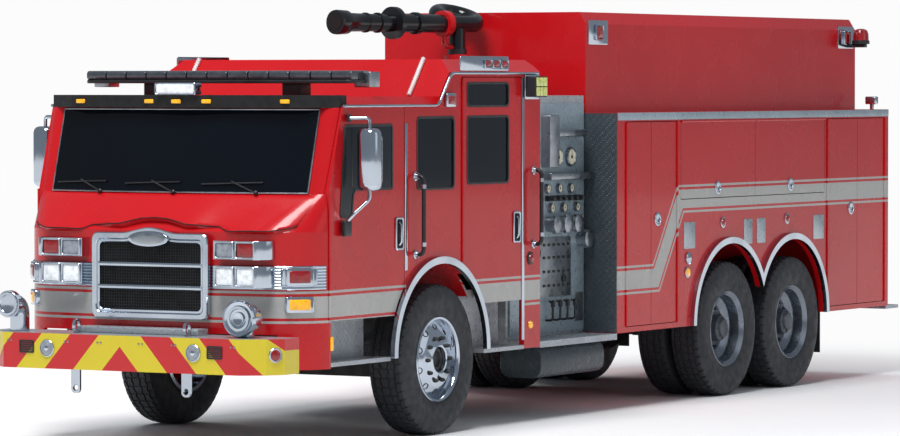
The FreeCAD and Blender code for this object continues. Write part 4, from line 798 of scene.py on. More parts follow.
def make_grille():
    """A bright frame with a hump, two bars, fine crossed wires before a near-black sheet of painted shade,
    and a blank oval.
    """
    outer, inner = humped(0.495, 0.917, 1.53, 0.05, 0.04), humped(0.431, 0.981, 1.462, 0.03, 0.028)
    lip = humped(0.452, 0.96, 1.483, 0.036, 0.031)
    shapes = [rim(outer, lip, "y", -1.998, -1.952, 0.007), rim(lip, inner, "y", -1.988, -1.956, 0.004)]
    for level in (1.1427, 1.3044):
        shapes.append(block((-0.44, -1.994, level - 0.016), (0.44, -1.96, level + 0.016), "x", 0.007))
    piece("grille_frame", CHROME, shapes, over=["grille"])
    wires = [block((x - 0.0025, -1.972, 0.975), (x + 0.0025, -1.967, 1.468), "z", 0.001, 0.0005, 2)
             for x in np.linspace(-0.42, 0.42, 41)]
    wires += [block((-0.435, -1.967, z - 0.0025), (0.435, -1.962, z + 0.0025), "x", 0.001, 0.0005, 2)
              for z in np.linspace(0.99, 1.455, 23)]
    piece("grille_wires", SATIN_BLACK, wires)
    # A near-black sheet behind the wires: the shade inside the grille, painted.
    shade_sheet = block((-0.436, -1.9595, 0.972), (0.436, -1.9515, 1.472), "y", 0.02, 0.001)
    piece("grille_shade_sheet", BLACK_AND_SHADE, [shade_sheet])
    piece("grille_badge", CHROME, [solid(oval(0.0, 1.488, 0.172, 0.056), "y", -2.012, -1.99, 0.006)])
    piece("grille_badge_face", BRUSHED, [dome(oval(0.0, 1.488, 0.15, 0.04), "y", -2.011, -0.004)])


def make_nose_lamps():
    """Four pods of two lenses, the side pods and the turn lamps round the corners, and the ribbed bands."""
    rims, whites, reds, greys, ambers = [], [], [], [], []
    for low, high in ((1.16, 1.304), (1.357, 1.483)):
        for left, right in ((0.572, 0.736), (0.744, 0.908)):
            rims.append(bezel(left, right, low, high, 0.012, (0.016, 0.01), "y", -2.034, -2.0195, 0.003))
    for left, low, high, found in ((0.586, 1.174, 1.29, whites), (0.758, 1.174, 1.29, whites),
                                   (0.758, 1.371, 1.469, reds), (0.586, 1.371, 1.469, greys)):
        found.append(dome(rounded(left, left + 0.136, low, high, 0.01), "y", -2.0215, -0.01))
    corner_x, corner_y, slant = 1.118, -1.774, 47.0
    for level, half, found in ((1.232, 0.05, reds), (1.035, 0.044, ambers)):
        centre = (corner_x, corner_y, level)
        pod = block((corner_x - 0.105, -1.812, level - half - 0.014),
                    (corner_x + 0.105, -1.762, level + half + 0.014), "y", 0.016, 0.01)
        glass = dome(rounded(corner_x - 0.078, corner_x + 0.078, level - half + 0.006, level + half - 0.006,
                             0.012), "y", -1.811, -0.012)
        rims.append(swung(pod, slant, centre))
        found.append(swung(glass, slant, centre))
    share = np.linspace(0.57, 1.93, 60)
    bands = [along_nose(share, ribbed(1.138, 1.309, 8, 0.004, 0.007))]
    for low, high in ((1.156, 1.308), (1.353, 1.487)):
        end = np.array([(0.9, -2.032), (0.93, -2.024), (0.985, -1.955), (0.985, -1.89), (0.9, -1.93)])
        bands.append(solid(end, "z", low, high, 0.006))
    bands.append(swung(block((0.985, -1.8, 1.172), (1.25, -1.764, 1.292), "y", 0.012, 0.01), slant,
                       (corner_x, corner_y, 1.232)))
    piece("nose_trim", CHROME, both(*rims, *bands))
    piece("head_lenses", WHITE_LENS, both(*whites))
    piece("front_red_lenses", RED_LENS, both(*reds))
    piece("front_clear_lenses", CLEAR_LENS, both(*greys))
    piece("turn_lenses", AMBER_LENS, both(*ambers))
    piece("hood_panel", HOOD_PAINT, [hood_panel()], sharp=60.0)
    piece("hood_seam", BLACK_AND_SHADE, [hood_seam()])


def make_mirrors():
    """Tall bright mirrors on pipe arms from the front doors' upper corner and sill."""
    for word, side in SIDES.items():
        body, name = "door_front_" + word, "mirror_" + word
        head = rounded(1.316, 1.482, -1.345, -1.195, 0.062, 8)
        upper = [(1.262, -1.325, 2.349), (1.398, -1.266, 2.349), (1.398, -1.266, 2.27)]
        lower = [(1.398, -1.266, 1.84), (1.398, -1.266, 1.77), (1.315, -1.36, 1.66), (1.262, -1.375, 1.6)]
        shapes = [solid(head, "z", 1.829, 2.278, 0.045), tube(upper, 0.013, 0.03), tube(lower, 0.013, 0.03)]
        piece("mirror_head_" + word, CHROME, on_side(side, shapes), body, [name])
        glass = [solid(rounded(1.334, 1.464, 1.86, 2.245, 0.05, 8), "y", -1.199, -1.1935, 0.002)]
        piece("mirror_glass_" + word, CLEAR_LENS, on_side(side, glass), body)
        foot = [block((1.2595, -1.43, 1.51), (1.292, -1.33, 1.62), "x", 0.012, 0.008),
                block((1.2595, -1.352, 2.322), (1.275, -1.298, 2.376), "x", 0.012, 0.004)]
        piece("mirror_feet_" + word, SATIN_BLACK, on_side(side, foot), body)


def make_light_bar():
    """A black tray on two feet with a row of dark lens blocks, a white lamp below its middle."""
    tray = [block((-1.164, -1.11, 2.596), (1.164, -0.81, 2.622), "z", 0.07, 0.006)]
    tray += [block((sign * 0.6 - 0.075, -1.05, 2.502), (sign * 0.6 + 0.075, -0.87, 2.6), "z", 0.02, 0.006)
             for sign in (1, -1)]
    tray.append(block((-1.15, -1.0, 2.622), (1.15, -0.92, 2.676), "x", 0.01, 0.004))
    piece("light_bar_tray", SATIN_BLACK, tray, over=["light_bar"])
    edges = np.linspace(-1.15, 1.15, 14)
    blocks = [block((a + 0.005, -1.098, 2.62), (b - 0.005, -0.822, 2.689), "x", 0.026, 0.008, 6)
              for a, b in zip(edges, edges[1:])]
    piece("light_bar_lenses", SMOKED_LENS, blocks)
    piece("scene_lamp", WHITE_LENS, [dome(rounded(-0.16, 0.16, 2.525, 2.59, 0.01), "y", -1.6545, -0.01)])
    piece("scene_lamp_case", CHROME, [
        rim(rounded(-0.176, 0.176, 2.513, 2.602, 0.014), rounded(-0.162, 0.162, 2.523, 2.592, 0.01),
            "y", -1.66, -1.64, 0.004),
        block((-0.172, -1.654, 2.515), (0.172, -1.565, 2.6), "y", 0.012, 0.006)])
    piece("roof_box", BRUSHED, both(block((1.06, -0.92, 2.568), (1.2, -0.78, 2.68), "z", 0.012, 0.006)))
    markers = []
    for x in (0.0, 0.245, -0.245, 0.876, -0.876):
        y = -1.639 + 0.08 * abs(x) / 0.96
        markers.append(dome(rounded(x - 0.04, x + 0.04, 2.452, 2.482, 0.008), "y", y, -0.016))
    piece("visor_markers", AMBER_LENS, markers)


def make_monitor():
    """The roof monitor: barrel with its flange, red band and foot, a near-black disc of painted shade across
    its mouth, and a curl of pipe behind.

    The curl is a ring of radius r that tilts up away from the barrel: at an angle t it lies r (1 - cos t)
    aside and r sin t along.
    """
    low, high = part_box("monitor_barrel")
    base_low, base_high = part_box("monitor_base")
    axis_z, yaw, reach, ring, pipe = 3.07, -12.0, 1.33, 0.16, 0.066
    tip, end = low.y - AXLE_Y - 0.1, high.y - AXLE_Y - 0.07
    post = (0.0, (base_low.y + base_high.y) / 2 - AXLE_Y, axis_z)
    barrel = [(0.0, 0.07), (0.0, 0.094), (0.02, 0.097), (0.12, 0.093), (0.15, 0.074), (0.3, 0.071),
              (0.33, 0.071), (0.335, 0.079), (0.352, 0.079), (0.357, 0.07), (0.47, 0.069), (0.474, 0.08),
              (0.492, 0.08), (0.496, 0.069), (0.64, 0.069), (0.644, 0.128), (0.69, 0.128), (0.694, 0.074),
              (0.9, 0.073), (0.905, 0.088), (0.945, 0.088), (0.95, 0.073), (reach, 0.072)]
    rise = (high.z - pipe - 0.002 - axis_z) / (2.0 * ring)
    turn = np.linspace(0.0, np.radians(318.0), 60)
    aside = ring * (1.0 - np.cos(turn))
    curl = np.stack([-math.sqrt(1.0 - rise ** 2) * aside, end - ring + ring * np.sin(turn),
                     axis_z + rise * aside], axis=-1)
    start = [(0.0, tip + reach - 0.03, axis_z)]
    foot = [(0.03, 0.066), (0.04, 0.072), (0.06, 0.066), (0.235, 0.066)]
    lug_y = post[1] - 0.16
    band_ring = turned([(-0.03, 0.06), (-0.03, 0.104), (0.03, 0.104), (0.03, 0.06)], "y",
                       (0.0, lug_y, axis_z), 40)
    lug = tube([(0.0, lug_y, axis_z - 0.085), (0.0, lug_y, 2.9), (0.0, post[1] - 0.03, 2.875)],
               0.022, 0.04, 12)
    # A near-black disc across the barrel's open end: the shade inside the bore, painted.
    mouth_shade = turned([(-0.001, 0.068), (0.004, 0.068), (0.004, 0.01)], "y", (0.0, tip - 0.002, axis_z), 40)
    pipes = [turned(barrel, "y", (0.0, tip, axis_z), 48),
             tube(np.concatenate([start, curl]), pipe, 0.004, 24),
             turned(foot, "z", (0.0, post[1], 2.8), 40)]
    for name, finish, shapes, over in (("band", PLAIN_PAINT, [band_ring, lug], ()),
                                       ("tube", GLOSS_BLACK, pipes, ["monitor_barrel"]),
                                       ("mouth_shade", BLACK_AND_SHADE, [mouth_shade], ())):
        piece("monitor_" + name, finish, [swung(shape, yaw, post) for shape in shapes], "monitor", over)


# The bumper's fittings, the windscreen, the cab's sides and the handrails


def facet_disc(radius, centre, out, parts):
    """A round lamp on a slanted face: profiles (a, share of the radius) turned about the way it faces."""
    return [turned([(a, share * radius) for a, share in part], out, centre, 32) for part in parts]


def make_bumper_parts():
    """Fog lamps, louvres, end lamps, tow eyes, tread-plate cover, siren and suction elbow."""
    lamp_ring = [(-0.002, 1.0), (0.006, 1.0), (0.01, 0.93), (0.01, 0.88), (0.004, 0.84), (0.003, 0.2)]
    bowl = [(0.004, 0.8), (0.0045, 0.5), (0.012, 0.34), (0.016, 0.12)]
    front = (0.0, -1.0, 0.0)
    rings = facet_disc(0.062, (0.62, -2.3735, 0.709), front, [lamp_ring, bowl])
    end_out, end_at = (0.832, -0.555, 0.0), (1.191, -2.204, 0.702)
    rings += facet_disc(0.052, end_at, end_out, [lamp_ring])
    piece("bumper_lamp_rings", CHROME, both(*rings))
    fog = [(0.0, 1.0), (0.004, 0.9), (0.007, 0.6), (0.008, 0.1)]
    end_lens = [(0.003, 1.0), (0.01, 0.85), (0.014, 0.5), (0.015, 0.1)]
    piece("fog_lenses", CLEAR_LENS, both(*facet_disc(0.048, (0.62, -2.379, 0.709), front, [fog])))
    piece("bumper_end_lenses", RED_LENS, both(*facet_disc(0.04, end_at, end_out, [end_lens])))
    louvre = [bezel(0.732, 0.86, 0.671, 0.763, 0.012, (0.012, 0.006), "y", -2.38, -2.3735, 0.002)]
    louvre += [block((0.742, -2.379, z - 0.004), (0.85, -2.374, z + 0.004), "x", 0.002, 0.001)
               for z in np.linspace(0.692, 0.742, 5)]
    piece("bumper_louvres", SATIN_BLACK, both(*louvre))
    eye_x, eye_z, eye_radius = 0.47, 0.425, 0.02
    plate = resampled(rounded(0.432, 0.508, 0.385, 0.6, 0.03), 48)
    plate = np.roll(plate, -int(np.arctan2(plate[:, 1] - eye_z, plate[:, 0] - eye_x).argmin()), axis=0)
    turn = np.arctan2(plate[:, 1] - eye_z, plate[:, 0] - eye_x)
    hole = np.stack([eye_x + eye_radius * np.cos(turn), eye_z + eye_radius * np.sin(turn)], axis=-1)
    ring = rim(rounded(-2.262, -2.178, 0.816, 0.916, 0.04), rounded(-2.243, -2.197, 0.834, 0.898, 0.022),
               "x", 0.458, 0.482, 0.003)
    siren = [(0.0, 0.02), (0.006, 0.03), (0.006, 0.046), (-0.006, 0.05), (-0.004, 0.066), (0.004, 0.07),
             (0.004, 0.088), (-0.01, 0.094), (-0.006, 0.118), (0.006, 0.124), (-0.01, 0.132), (-0.04, 0.128),
             (-0.06, 0.1), (-0.17, 0.092), (-0.19, 0.06), (-0.192, 0.02)]
    fittings = both(ring, rim(plate, hole, "y", -2.24, -2.216, 0.003))
    fittings.append(turned([(-a, r) for a, r in siren], "y", (0.915, -2.255, 0.952), 48))
    fittings.append(block((0.875, -2.2, 0.8155), (0.955, -2.1, 0.87), "x", 0.01))
    elbow_x = -1.003
    elbow = [(elbow_x, -2.165, 0.8), (elbow_x, -2.165, 1.012), (elbow_x, -2.27, 1.012)]
    fittings.append(tube(elbow, 0.07, 0.085, 28))
    cap = [(0.0, 0.02), (-0.004, 0.06), (-0.012, 0.066), (-0.012, 0.084), (0.0, 0.09), (0.0, 0.098),
           (0.04, 0.098), (0.048, 0.088), (0.06, 0.074), (0.08, 0.071)]
    fittings.append(turned(cap, "y", (elbow_x, -2.312, 1.012), 40))
    for x in (elbow_x - 0.104, elbow_x + 0.104):
        fittings.append(block((x - 0.012, -2.302, 1.0), (x + 0.012, -2.282, 1.024), "x", 0.004))
    piece("bumper_top_fittings", CHROME, fittings, over=["bumper_fittings"])
    piece("bumper_cover", TREAD, [block((-0.511, -2.15, 0.8155), (0.511, -2.01, 0.861), "x", 0.008)])
    bolts = [turned([(0.0, 0.008), (-0.004, 0.007), (-0.006, 0.003)], "y", (x, -2.373, 0.76), 12)
             for x in (0.16, 0.19, 0.44, 0.47, 0.93, 0.96)]
    piece("bumper_bolts", BRUSHED, both(*bolts))


def screen_point(x, share, ahead=0.0):
    """A place ahead of the windscreen, on a straight line between its edges.

    Each edge bows as y0 + rise (x / half)^2.
    """
    low = SCREEN_BASE_Y + SCREEN_BASE_BOW * (x / SCREEN_BASE_HALF) ** 2
    high = -1.54 + 0.105 * (x / 1.106) ** 2
    return (x, low + share * (high - low) - ahead, 1.81 + share * 0.61)


def make_screen_parts():
    """The windscreen's dark face, its thin bright surround, and three wipers with their arms."""
    across = np.linspace(-1.094, 1.094, 21)
    lows = [screen_point(x, 0.012, 0.008) for x in across]
    highs = [screen_point(x, 0.985, 0.008) for x in across]
    section = ((0.0, 0.001), (0.0, 0.006), (0.5, 0.007), (1.0, 0.006), (1.0, 0.001))
    grid = np.array([[screen_point(x, 0.015 + 0.968 * share, ahead) for share, ahead in section]
                     for x in across])
    piece("windscreen_face", SCREEN_GLASS, [closed(grid)])
    piece("screen_trim", BRUSHED, [tube(path, 0.006, 0.02, 8) for path in (
        lows, highs, [lows[0], highs[0]], [lows[-1], highs[-1]])])
    wipers = []
    for x in (-0.6, 0.06, 0.72):
        foot, knee = screen_point(x, 0.005, 0.016), screen_point(x - 0.2, 0.145, 0.03)
        wipers.append(tube([foot, knee], 0.006, 0.01, 8))
        wipers.append(turned([(0.0, 0.016), (0.022, 0.014), (0.026, 0.006)], (0, -0.8, 0.6), foot, 16))
        blade = [screen_point(at, 0.11 + 0.05 * (at - x + 0.45), 0.02)
                 for at in np.linspace(x - 0.44, x + 0.04, 5)]
        wipers.append(tube(blade, 0.0055, 0.01, 8))
    piece("wipers", SATIN_BLACK, wipers)


def gasket(front, rear, low, high):
    """A window's rubber: a round-cornered frame half over the panel and half over the glass."""
    over = 0.007
    return bezel(front - over, rear + over, low - over, high + over, 0.017, (0.042, 0.03),
                 "x", 1.2375, 1.249, 0.002)


def side_piece(name, finish, word, shapes, body="root"):
    """A piece worked out for the left side, made for one side, on the body of that side."""
    piece(name + "_" + word, finish, on_side(SIDES[word], shapes), body)


def make_cab_sides():
    """Window rubbers, door pulls with painted shade in their recesses, bright strips, gutters, roof lamps and
    the ribs on the roof's slope.
    """
    pane = np.array([(-0.69, 1.845), (-0.69, 2.285), (-0.7, 2.297), (-1.345, 2.297), (-1.36, 2.285),
                     (-1.418, 1.67), (-1.408, 1.65), (-1.275, 1.635), (-1.262, 1.65), (-1.24, 1.8),
                     (-1.215, 1.833), (-0.7, 1.835)])[::-1]
    front_glass = [solid(inset(pane, 0.004), "x", FACE, 1.2468, 0.0005),
                   block((1.2466, -1.262, 1.86), (1.2478, -1.25, 2.28), "x", 0.002, 0.0004)]
    front_rubber = [rim(inset(pane, -0.012), inset(pane, 0.008), "x", 1.2453, 1.2515, 0.002)]
    roof_lamps = (0.706, 0.832, 0.958)
    gutter = ((-1.385, 2.434), (-0.035, 2.434), (0.157, 2.672), (1.495, 2.672))
    trim = [block((FACE, -0.511, 1.234), (1.2505, -0.473, 2.307), "x", 0.003, 0.002),
            block((FACE, 1.258, 0.64), (1.2505, 1.296, 2.64), "x", 0.003, 0.002),
            tube([(1.2565, y, z) for y, z in gutter], 0.011, 0.05, 10),
            block((FACE, 0.294, 2.69), (1.2572, 1.037, 2.8), "x", 0.014, 0.004),
            block((FACE, 0.072, 2.421), (1.27, 0.212, 2.526), "x", 0.016, 0.006),
            block((FACE, 1.3, 2.474), (1.256, 1.528, 2.668), "x", 0.012, 0.004)]
    trim += [bezel(y - 0.058, y + 0.058, 2.709, 2.779, 0.012, (0.012, 0.008), "x", 1.257, 1.272, 0.004)
             for y in roof_lamps]
    reds = [dome(rounded(y - 0.047, y + 0.047, 2.72, 2.768, 0.008), "x", 1.2575, 0.018) for y in roof_lamps]
    reds.append(dome(rounded(0.092, 0.192, 2.441, 2.506, 0.012), "x", 1.2695, 0.012))
    reds.append(turned([(0.0, 0.034), (0.012, 0.03), (0.018, 0.016), (0.019, 0.003)], "x",
                       (1.2505, 1.396, 1.26), 28))
    ambers = [turned([(0.0, 0.03), (0.01, 0.026), (0.014, 0.004)], "x", (FACE, 1.4, 0.75), 24),
              block((FACE, -1.56, 0.7), (1.256, -1.525, 0.8), "x", 0.008, 0.004)]
    box = [block((1.256, 1.318, 2.492), (1.336, 1.51, 2.65), "x", 0.01, 0.006),
           turned([(0.0, 0.05), (0.006, 0.05), (0.008, 0.036)], "x", (FACE, 1.396, 1.26), 28)]
    cells = [block((1.3355, y - 0.026, z - 0.033), (1.3395, y + 0.026, z + 0.033), "x", 0.006, 0.001)
             for y in (1.356, 1.414, 1.472) for z in (2.534, 2.608)]
    rope = [(a, 0.016 + 0.004 * math.sin(a * 260.0)) for a in np.linspace(0.0, 0.352, 45)]
    rib = turned(rope, (0.0, 0.22, 0.275), (0.991, -0.012, 2.509), 16)
    for word in SIDES:
        door = "door_rear_" + word
        side_piece("door_rubbers", SATIN_BLACK, word, [gasket(0.416, 1.055, 1.846, 2.35),
                                                       gasket(0.416, 1.055, 2.425, 2.6)], door)
        door = "door_front_" + word
        side_piece("front_pane", SIDE_GLASS, word, front_glass, door)
        side_piece("front_rubber", SATIN_BLACK, word, front_rubber, door)
        side_piece("cab_rubber", SATIN_BLACK, word, [gasket(-0.33, 0.22, 1.819, 2.348)])
        for kind, front, rear, low in (("front", -0.65, -0.534, 1.384), ("rear", 1.118, 1.234, 1.384)):
            door = "door_%s_%s" % (kind, word)
            plate = rounded(front, rear, low, low + 0.24, 0.02)
            hole = rounded(front + 0.016, rear - 0.016, low + 0.016, low + 0.224, 0.014)
            grip = [(1.249, low + 0.04), (1.266, low + 0.06), (1.266, low + 0.18), (1.249, low + 0.2)]
            side_piece("pull_frame_" + kind, CHROME, word, [
                rim(plate, hole, "x", FACE, 1.257, 0.004),
                tube([(x, front + 0.058, z) for x, z in grip], 0.009, 0.012)], door)
            # A near-black sheet in each pull's recess: the recess's shade, painted.
            side_piece("pull_pan_" + kind, BLACK_AND_SHADE, word, [solid(hole, "x", FACE, 1.2472, 0.0008)], door)
        for name, finish, shapes in (("roof_trim", CHROME, trim), ("cab_red_lenses", RED_LENS, reds),
                                     ("cab_ambers", AMBER_LENS, ambers), ("flood_box", SATIN_BLACK, box),
                                     ("flood_cells", CELL_LENS, cells), ("roof_rib", WHITE_PAINT, [rib])):
            side_piece(name, finish, word, shapes)


def make_rails():
    """Handrails on stand-off feet, black with bright ends, behind both doors."""
    grips, ends = [], []
    for y, low, high in ((-0.358, 1.345, 1.918), (1.443, 1.366, 1.932)):
        grip = [(1.245, y, low), (1.319, y, low), (1.319, y, high), (1.245, y, high)]
        grips.append(tube(grip, 0.016, 0.045, 14))
        foot = [(0.0, 0.034), (0.008, 0.034), (0.014, 0.024), (0.03, 0.02)]
        ends += [turned(foot, "x", (FACE, y, z), 24) for z in (low, high)]
        ends += [turned([(0.0, 0.0185), (0.03, 0.0185)], "z", (1.319, y, z), 16)
                 for z in (low + 0.06, high - 0.09)]
    piece("handrail_grips", SATIN_BLACK, both(*grips), over=["grab_rails"])
    piece("handrail_ends", CHROME, both(*ends))


# The pump panel, the rear body, the tank, the monitor's foot and the cab's inside


def gauge(y, z, radius):
    """A gauge's bright case with its rolled rim."""
    return turned([(0.0, radius), (0.022, radius), (0.03, radius * 0.94), (0.03, radius * 0.84),
                   (0.024, radius * 0.8), (0.023, 0.004)], "x", (PANEL, y, z), 36)


def make_pump_panel():
    """The panel with its box, shelves, gauges, valves, control plate and levers, and the sheets behind and
    below it, dark with painted shade.
    """
    panel = block((0.9435, 1.6, 0.64), (PANEL, 2.815, 2.44), "x", 0.006, 0.002)
    under = block((0.838, 1.656, 0.32), (1.2, 2.7, 0.564), "y", 0.08, 0.006)
    bulkhead = block((0.944, 2.824, 0.62), (1.244, 2.8325, 2.36), "y", 0.006, 0.001)
    piece("pump_panel", PANEL_TREAD, both(panel), over=["pump_controls"])
    # The bulkhead and the sheet under the pump take the darker tread: the shade that falls on them is painted
    # into its colour.
    piece("shaded_bulkhead_sheet", SHADED_TREAD, both(bulkhead, under))
    bright = [block((PANEL, 2.105, 1.94), (1.036, 2.262, 2.348), "x", 0.01, 0.006),
              block((PANEL, 2.266, 2.176), (1.036, 2.712, 2.232), "y", 0.012, 0.004),
              block((PANEL, 2.108, 1.838), (1.049, 2.812, 1.894), "y", 0.012, 0.004),
              block((PANEL, 1.7, 0.921), (0.962, 2.586, 1.388), "x", 0.008, 0.002),
              block((PANEL, 2.654, 0.714), (0.962, 2.789, 0.94), "x", 0.008, 0.002)]
    big = ((2.352, 2.016, 0.076), (2.568, 2.016, 0.076))
    small = [(y, 1.77, 0.038) for y in (2.187, 2.378, 2.569)]
    low = [(y, 1.618, 0.038) for y in (2.253, 2.452, 2.67)]
    faces, needles, valves = [], [], []
    for y, z, radius in (*big, *small, *low):
        bright.append(gauge(y, z, radius))
        card = [(0.0, radius * 0.79), (0.0015, radius * 0.78), (0.0016, 0.003)]
        cap = [(0.0, radius * 0.2), (0.003, radius * 0.16), (0.004, 0.003)]
        faces.append(turned(card, "x", (0.9795, y, z), 32))
        needles.append(turned(cap, "x", (0.9808, y, z), 24))
        tip = (0.9832, y + 0.002, z + radius * 0.66)
        needles.append(block((0.9812, y - 0.002, z), tip, "x", 0.001, 0.0005, 2))
    outlets = ((2.22, 1.493), (2.395, 1.493), (2.569, 1.493), (2.74, 1.367))
    for y, z in outlets:
        bright.append(turned([(0.0, 0.062), (0.05, 0.058), (0.054, 0.072), (0.092, 0.072), (0.1, 0.062),
                              (0.102, 0.02)], "x", (PANEL, y, z), 32))
        for turn in THIRDS:
            knob = (1.034, y + 0.074 * math.cos(turn), z + 0.074 * math.sin(turn))
            bright.append(turned([(-0.012, 0.01), (0.012, 0.01)], "x", knob, 10))
    for y in (2.187, 2.283, 2.378, 2.474, 2.569, 2.664):
        valves.append(block((PANEL, y - 0.018, 1.672), (1.0, y + 0.018, 1.716), "x", 0.008, 0.006))
        valves.append(turned([(0.0, 0.01), (0.05, 0.01), (0.056, 0.02), (0.08, 0.02), (0.086, 0.012)], "x",
                             (PANEL, y, 1.694), 16))
    for y in (2.172, 2.294, 2.416, 2.538):
        lever = [(0.962, y, 0.74), (1.024, y, 0.74), (1.026, y, 0.88), (0.99, y, 0.89)]
        valves.append(tube(lever, 0.009, 0.03))
        valves.append(turned([(-0.03, 0.004), (-0.024, 0.018), (0.024, 0.018), (0.03, 0.004)], "z",
                             (1.026, y, 0.87), 16))
    for y, z, radius in ((1.86, 1.27, 0.052), (2.02, 1.27, 0.052), (2.46, 1.06, 0.03)):
        valves.append(turned([(0.0, radius), (0.012, radius * 0.94), (0.014, 0.004)], "x", (0.962, y, z), 28))
    for y in np.linspace(2.14, 2.54, 6):
        for z in (1.01, 1.12, 1.23, 1.33):
            valves.append(block((0.962, y - 0.016, z - 0.011), (0.968, y + 0.016, z + 0.011),
                                "x", 0.004, 0.002, 3))
    piece("pump_brightwork", BRUSHED, both(*bright))
    piece("gauge_faces", CREAM, both(*faces))
    piece("gauge_needles", BLACK_AND_SHADE, both(*needles))
    piece("pump_handles", SATIN_BLACK, both(*valves))


def latch(y, z, level=0.0):
    """A folding D handle: a round pan with a raised ring and a bar across its lower half."""
    return [turned([(0.0, 0.056), (0.006, 0.056), (0.01, 0.05), (0.01, 0.043), (0.005, 0.04), (0.004, 0.003)],
                   "x", (FACE, y, z), 32),
            tube([(1.252, y - 0.03, z + 0.01), (1.258, y - 0.028, z - 0.026), (1.258, y + 0.028, z - 0.026),
                  (1.252, y + 0.03, z + 0.01)], 0.005, 0.014, 8)]


def make_body_parts():
    """Door latches, blank plates, fuel cap, top rails, and the lamps of the sides, tank and back."""
    places = (("locker_front_two_", 3.533, 1.502), ("lift_door_one_", 4.628, 1.735),
              ("lift_door_two_", 6.023, 1.735), ("locker_rear_one_", 7.26, 1.502))
    for word, side in SIDES.items():
        for leaf, y, z in places:
            piece("latch_" + leaf + word, CHROME, on_side(side, latch(y, z)), leaf + word)
    plates = [block((FACE, front, low), (1.249, rear, high), "x", 0.012, 0.0015)
              for front, rear, low, high in ((4.004, 4.208, 1.246, 1.463), (5.119, 5.282, 1.252, 1.461),
                                             (5.369, 5.533, 1.252, 1.461), (6.486, 6.696, 1.252, 1.461))]
    cap = [turned([(0.0, 0.05), (0.01, 0.05), (0.016, 0.044), (0.02, 0.02), (0.021, 0.004)], "x",
                  (FACE, 4.087, 1.169), 32)]
    rings = [turned([(0.0, 0.046), (0.007, 0.046), (0.009, 0.034)], "x", (FACE, y, z), 28)
             for y, z in ((4.722, 1.445), (5.955, 1.445), (4.069, 1.055))]
    rail = block((FACE, 2.84, 2.302), (1.2505, 8.055, 2.362), "y", 0.002, 0.002)
    piece("body_plates", PALE_PAINT, both(*plates))
    piece("body_top_rail", PANEL_TREAD, both(rail))
    reds = [turned([(0.0, 0.033), (0.008, 0.03), (0.014, 0.016), (0.015, 0.003)], "x", (1.2535, y, 1.445), 28)
            for y in (4.722, 5.955)]
    tank_plates = []
    for front in (2.94, 7.67):
        tank_plates.append(block((0.9275, front, 2.905), (0.9325, front + 0.33, 3.1), "x", 0.014, 0.002))
        tank_plates.append(bezel(front + 0.1, front + 0.23, 2.94, 3.066, 0.012, (0.014, 0.01),
                                 "x", 0.9325, 0.952, 0.004))
        reds.append(dome(rounded(front + 0.111, front + 0.219, 2.951, 3.055, 0.01), "x", 0.9335, 0.026))
    beacon_foot = [block((0.9275, 7.86, 2.915), (1.1, 7.92, 2.945), "x", 0.008, 0.004),
                   turned([(0.0, 0.078), (0.028, 0.078), (0.034, 0.07)], "z", (1.047, 7.9, 2.945), 32)]
    reds.append(turned([(0.0, 0.07), (0.06, 0.068), (0.092, 0.056), (0.104, 0.034), (0.108, 0.004)], "z",
                       (1.047, 7.9, 2.975), 32))
    post = [block((1.085, 8.01, 2.364), (1.115, 8.04, 2.41), "z", 0.004),
            block((1.05, 7.985, 2.408), (1.15, 8.055, 2.478), "x", 0.012, 0.008)]
    piece("body_bright_parts", CHROME, both(*cap, *rings, *tank_plates, *post))
    piece("beacon_feet", SATIN_BLACK, both(*beacon_foot))
    rear_frames, rear_reds = [], []
    for low, high in ((1.16, 1.29), (1.3, 1.43), (1.44, 1.56)):
        rear_frames.append(bezel(0.985, 1.115, low, high, 0.014, (0.014, 0.008), "y", 8.1002, 8.112, 0.003))
        rear_reds.append(dome(rounded(1.0, 1.1, low + 0.015, high - 0.015, 0.008), "y", 8.1003, 0.012))
    piece("rear_lamp_frames", CHROME, both(*rear_frames))
    piece("body_red_lenses", RED_LENS, both(*reds, *rear_reds))
    piece("fuel_amber", AMBER_LENS, both(turned([(0.0, 0.033), (0.008, 0.028), (0.012, 0.004)], "x",
                                                (1.2535, 4.069, 1.055), 24)))


def make_monitor_parts():
    """The red collar at the monitor's pivot, the flange of its post and its black knob."""
    low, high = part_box("monitor_base")
    y = (low.y + high.y) / 2 - AXLE_Y
    collar = [(-0.028, 0.084), (-0.02, 0.104), (0.02, 0.104), (0.028, 0.084)]
    piece("monitor_collar", PLAIN_PAINT, [turned(collar, "z", (0.0, y, 2.8), 40)])
    piece("monitor_flange", GLOSS_BLACK, [
        turned([(0.0, 0.12), (0.024, 0.12), (0.03, 0.08)], "z", (0.0, y, 2.5005), 40),
        turned([(0.0, 0.03), (0.03, 0.04), (0.06, 0.03)], "x", (-0.14, y, 2.74), 24)])


def cushion(low, high, crown, seams=0):
    """A stuffed pad: a rounded box whose faces swell by crown (1 - u^2)(1 - v^2), with sewn channels."""
    middle, half = (np.array(low) + high) / 2.0, (np.array(high) - low) / 2.0
    turn = np.linspace(-np.pi / 2, np.pi / 2, 24)[:, None]
    round_turn = np.linspace(0.0, 2.0 * np.pi, 72, endpoint=False)[None, :]

    def power(value, sharpness):
        return np.sign(value) * np.abs(value) ** sharpness

    square = 0.3
    x = power(np.cos(turn), square) * power(np.cos(round_turn), square)
    y = power(np.cos(turn), square) * power(np.sin(round_turn), square)
    z = power(np.sin(turn), 0.35) * np.ones_like(round_turn)
    swell = (1.0 - x ** 2) * (1.0 - y ** 2)
    channel = 0.008 * np.exp(-((np.cos(x * np.pi * seams) + 1.0) / 0.08)) if seams else 0.0
    raised = z * half[2] + np.sign(z) * (crown * swell - channel * (z > 0.5))
    points = np.stack([x * half[0], y * half[1], raised], axis=-1)
    return closed(points[1:-1] + middle)


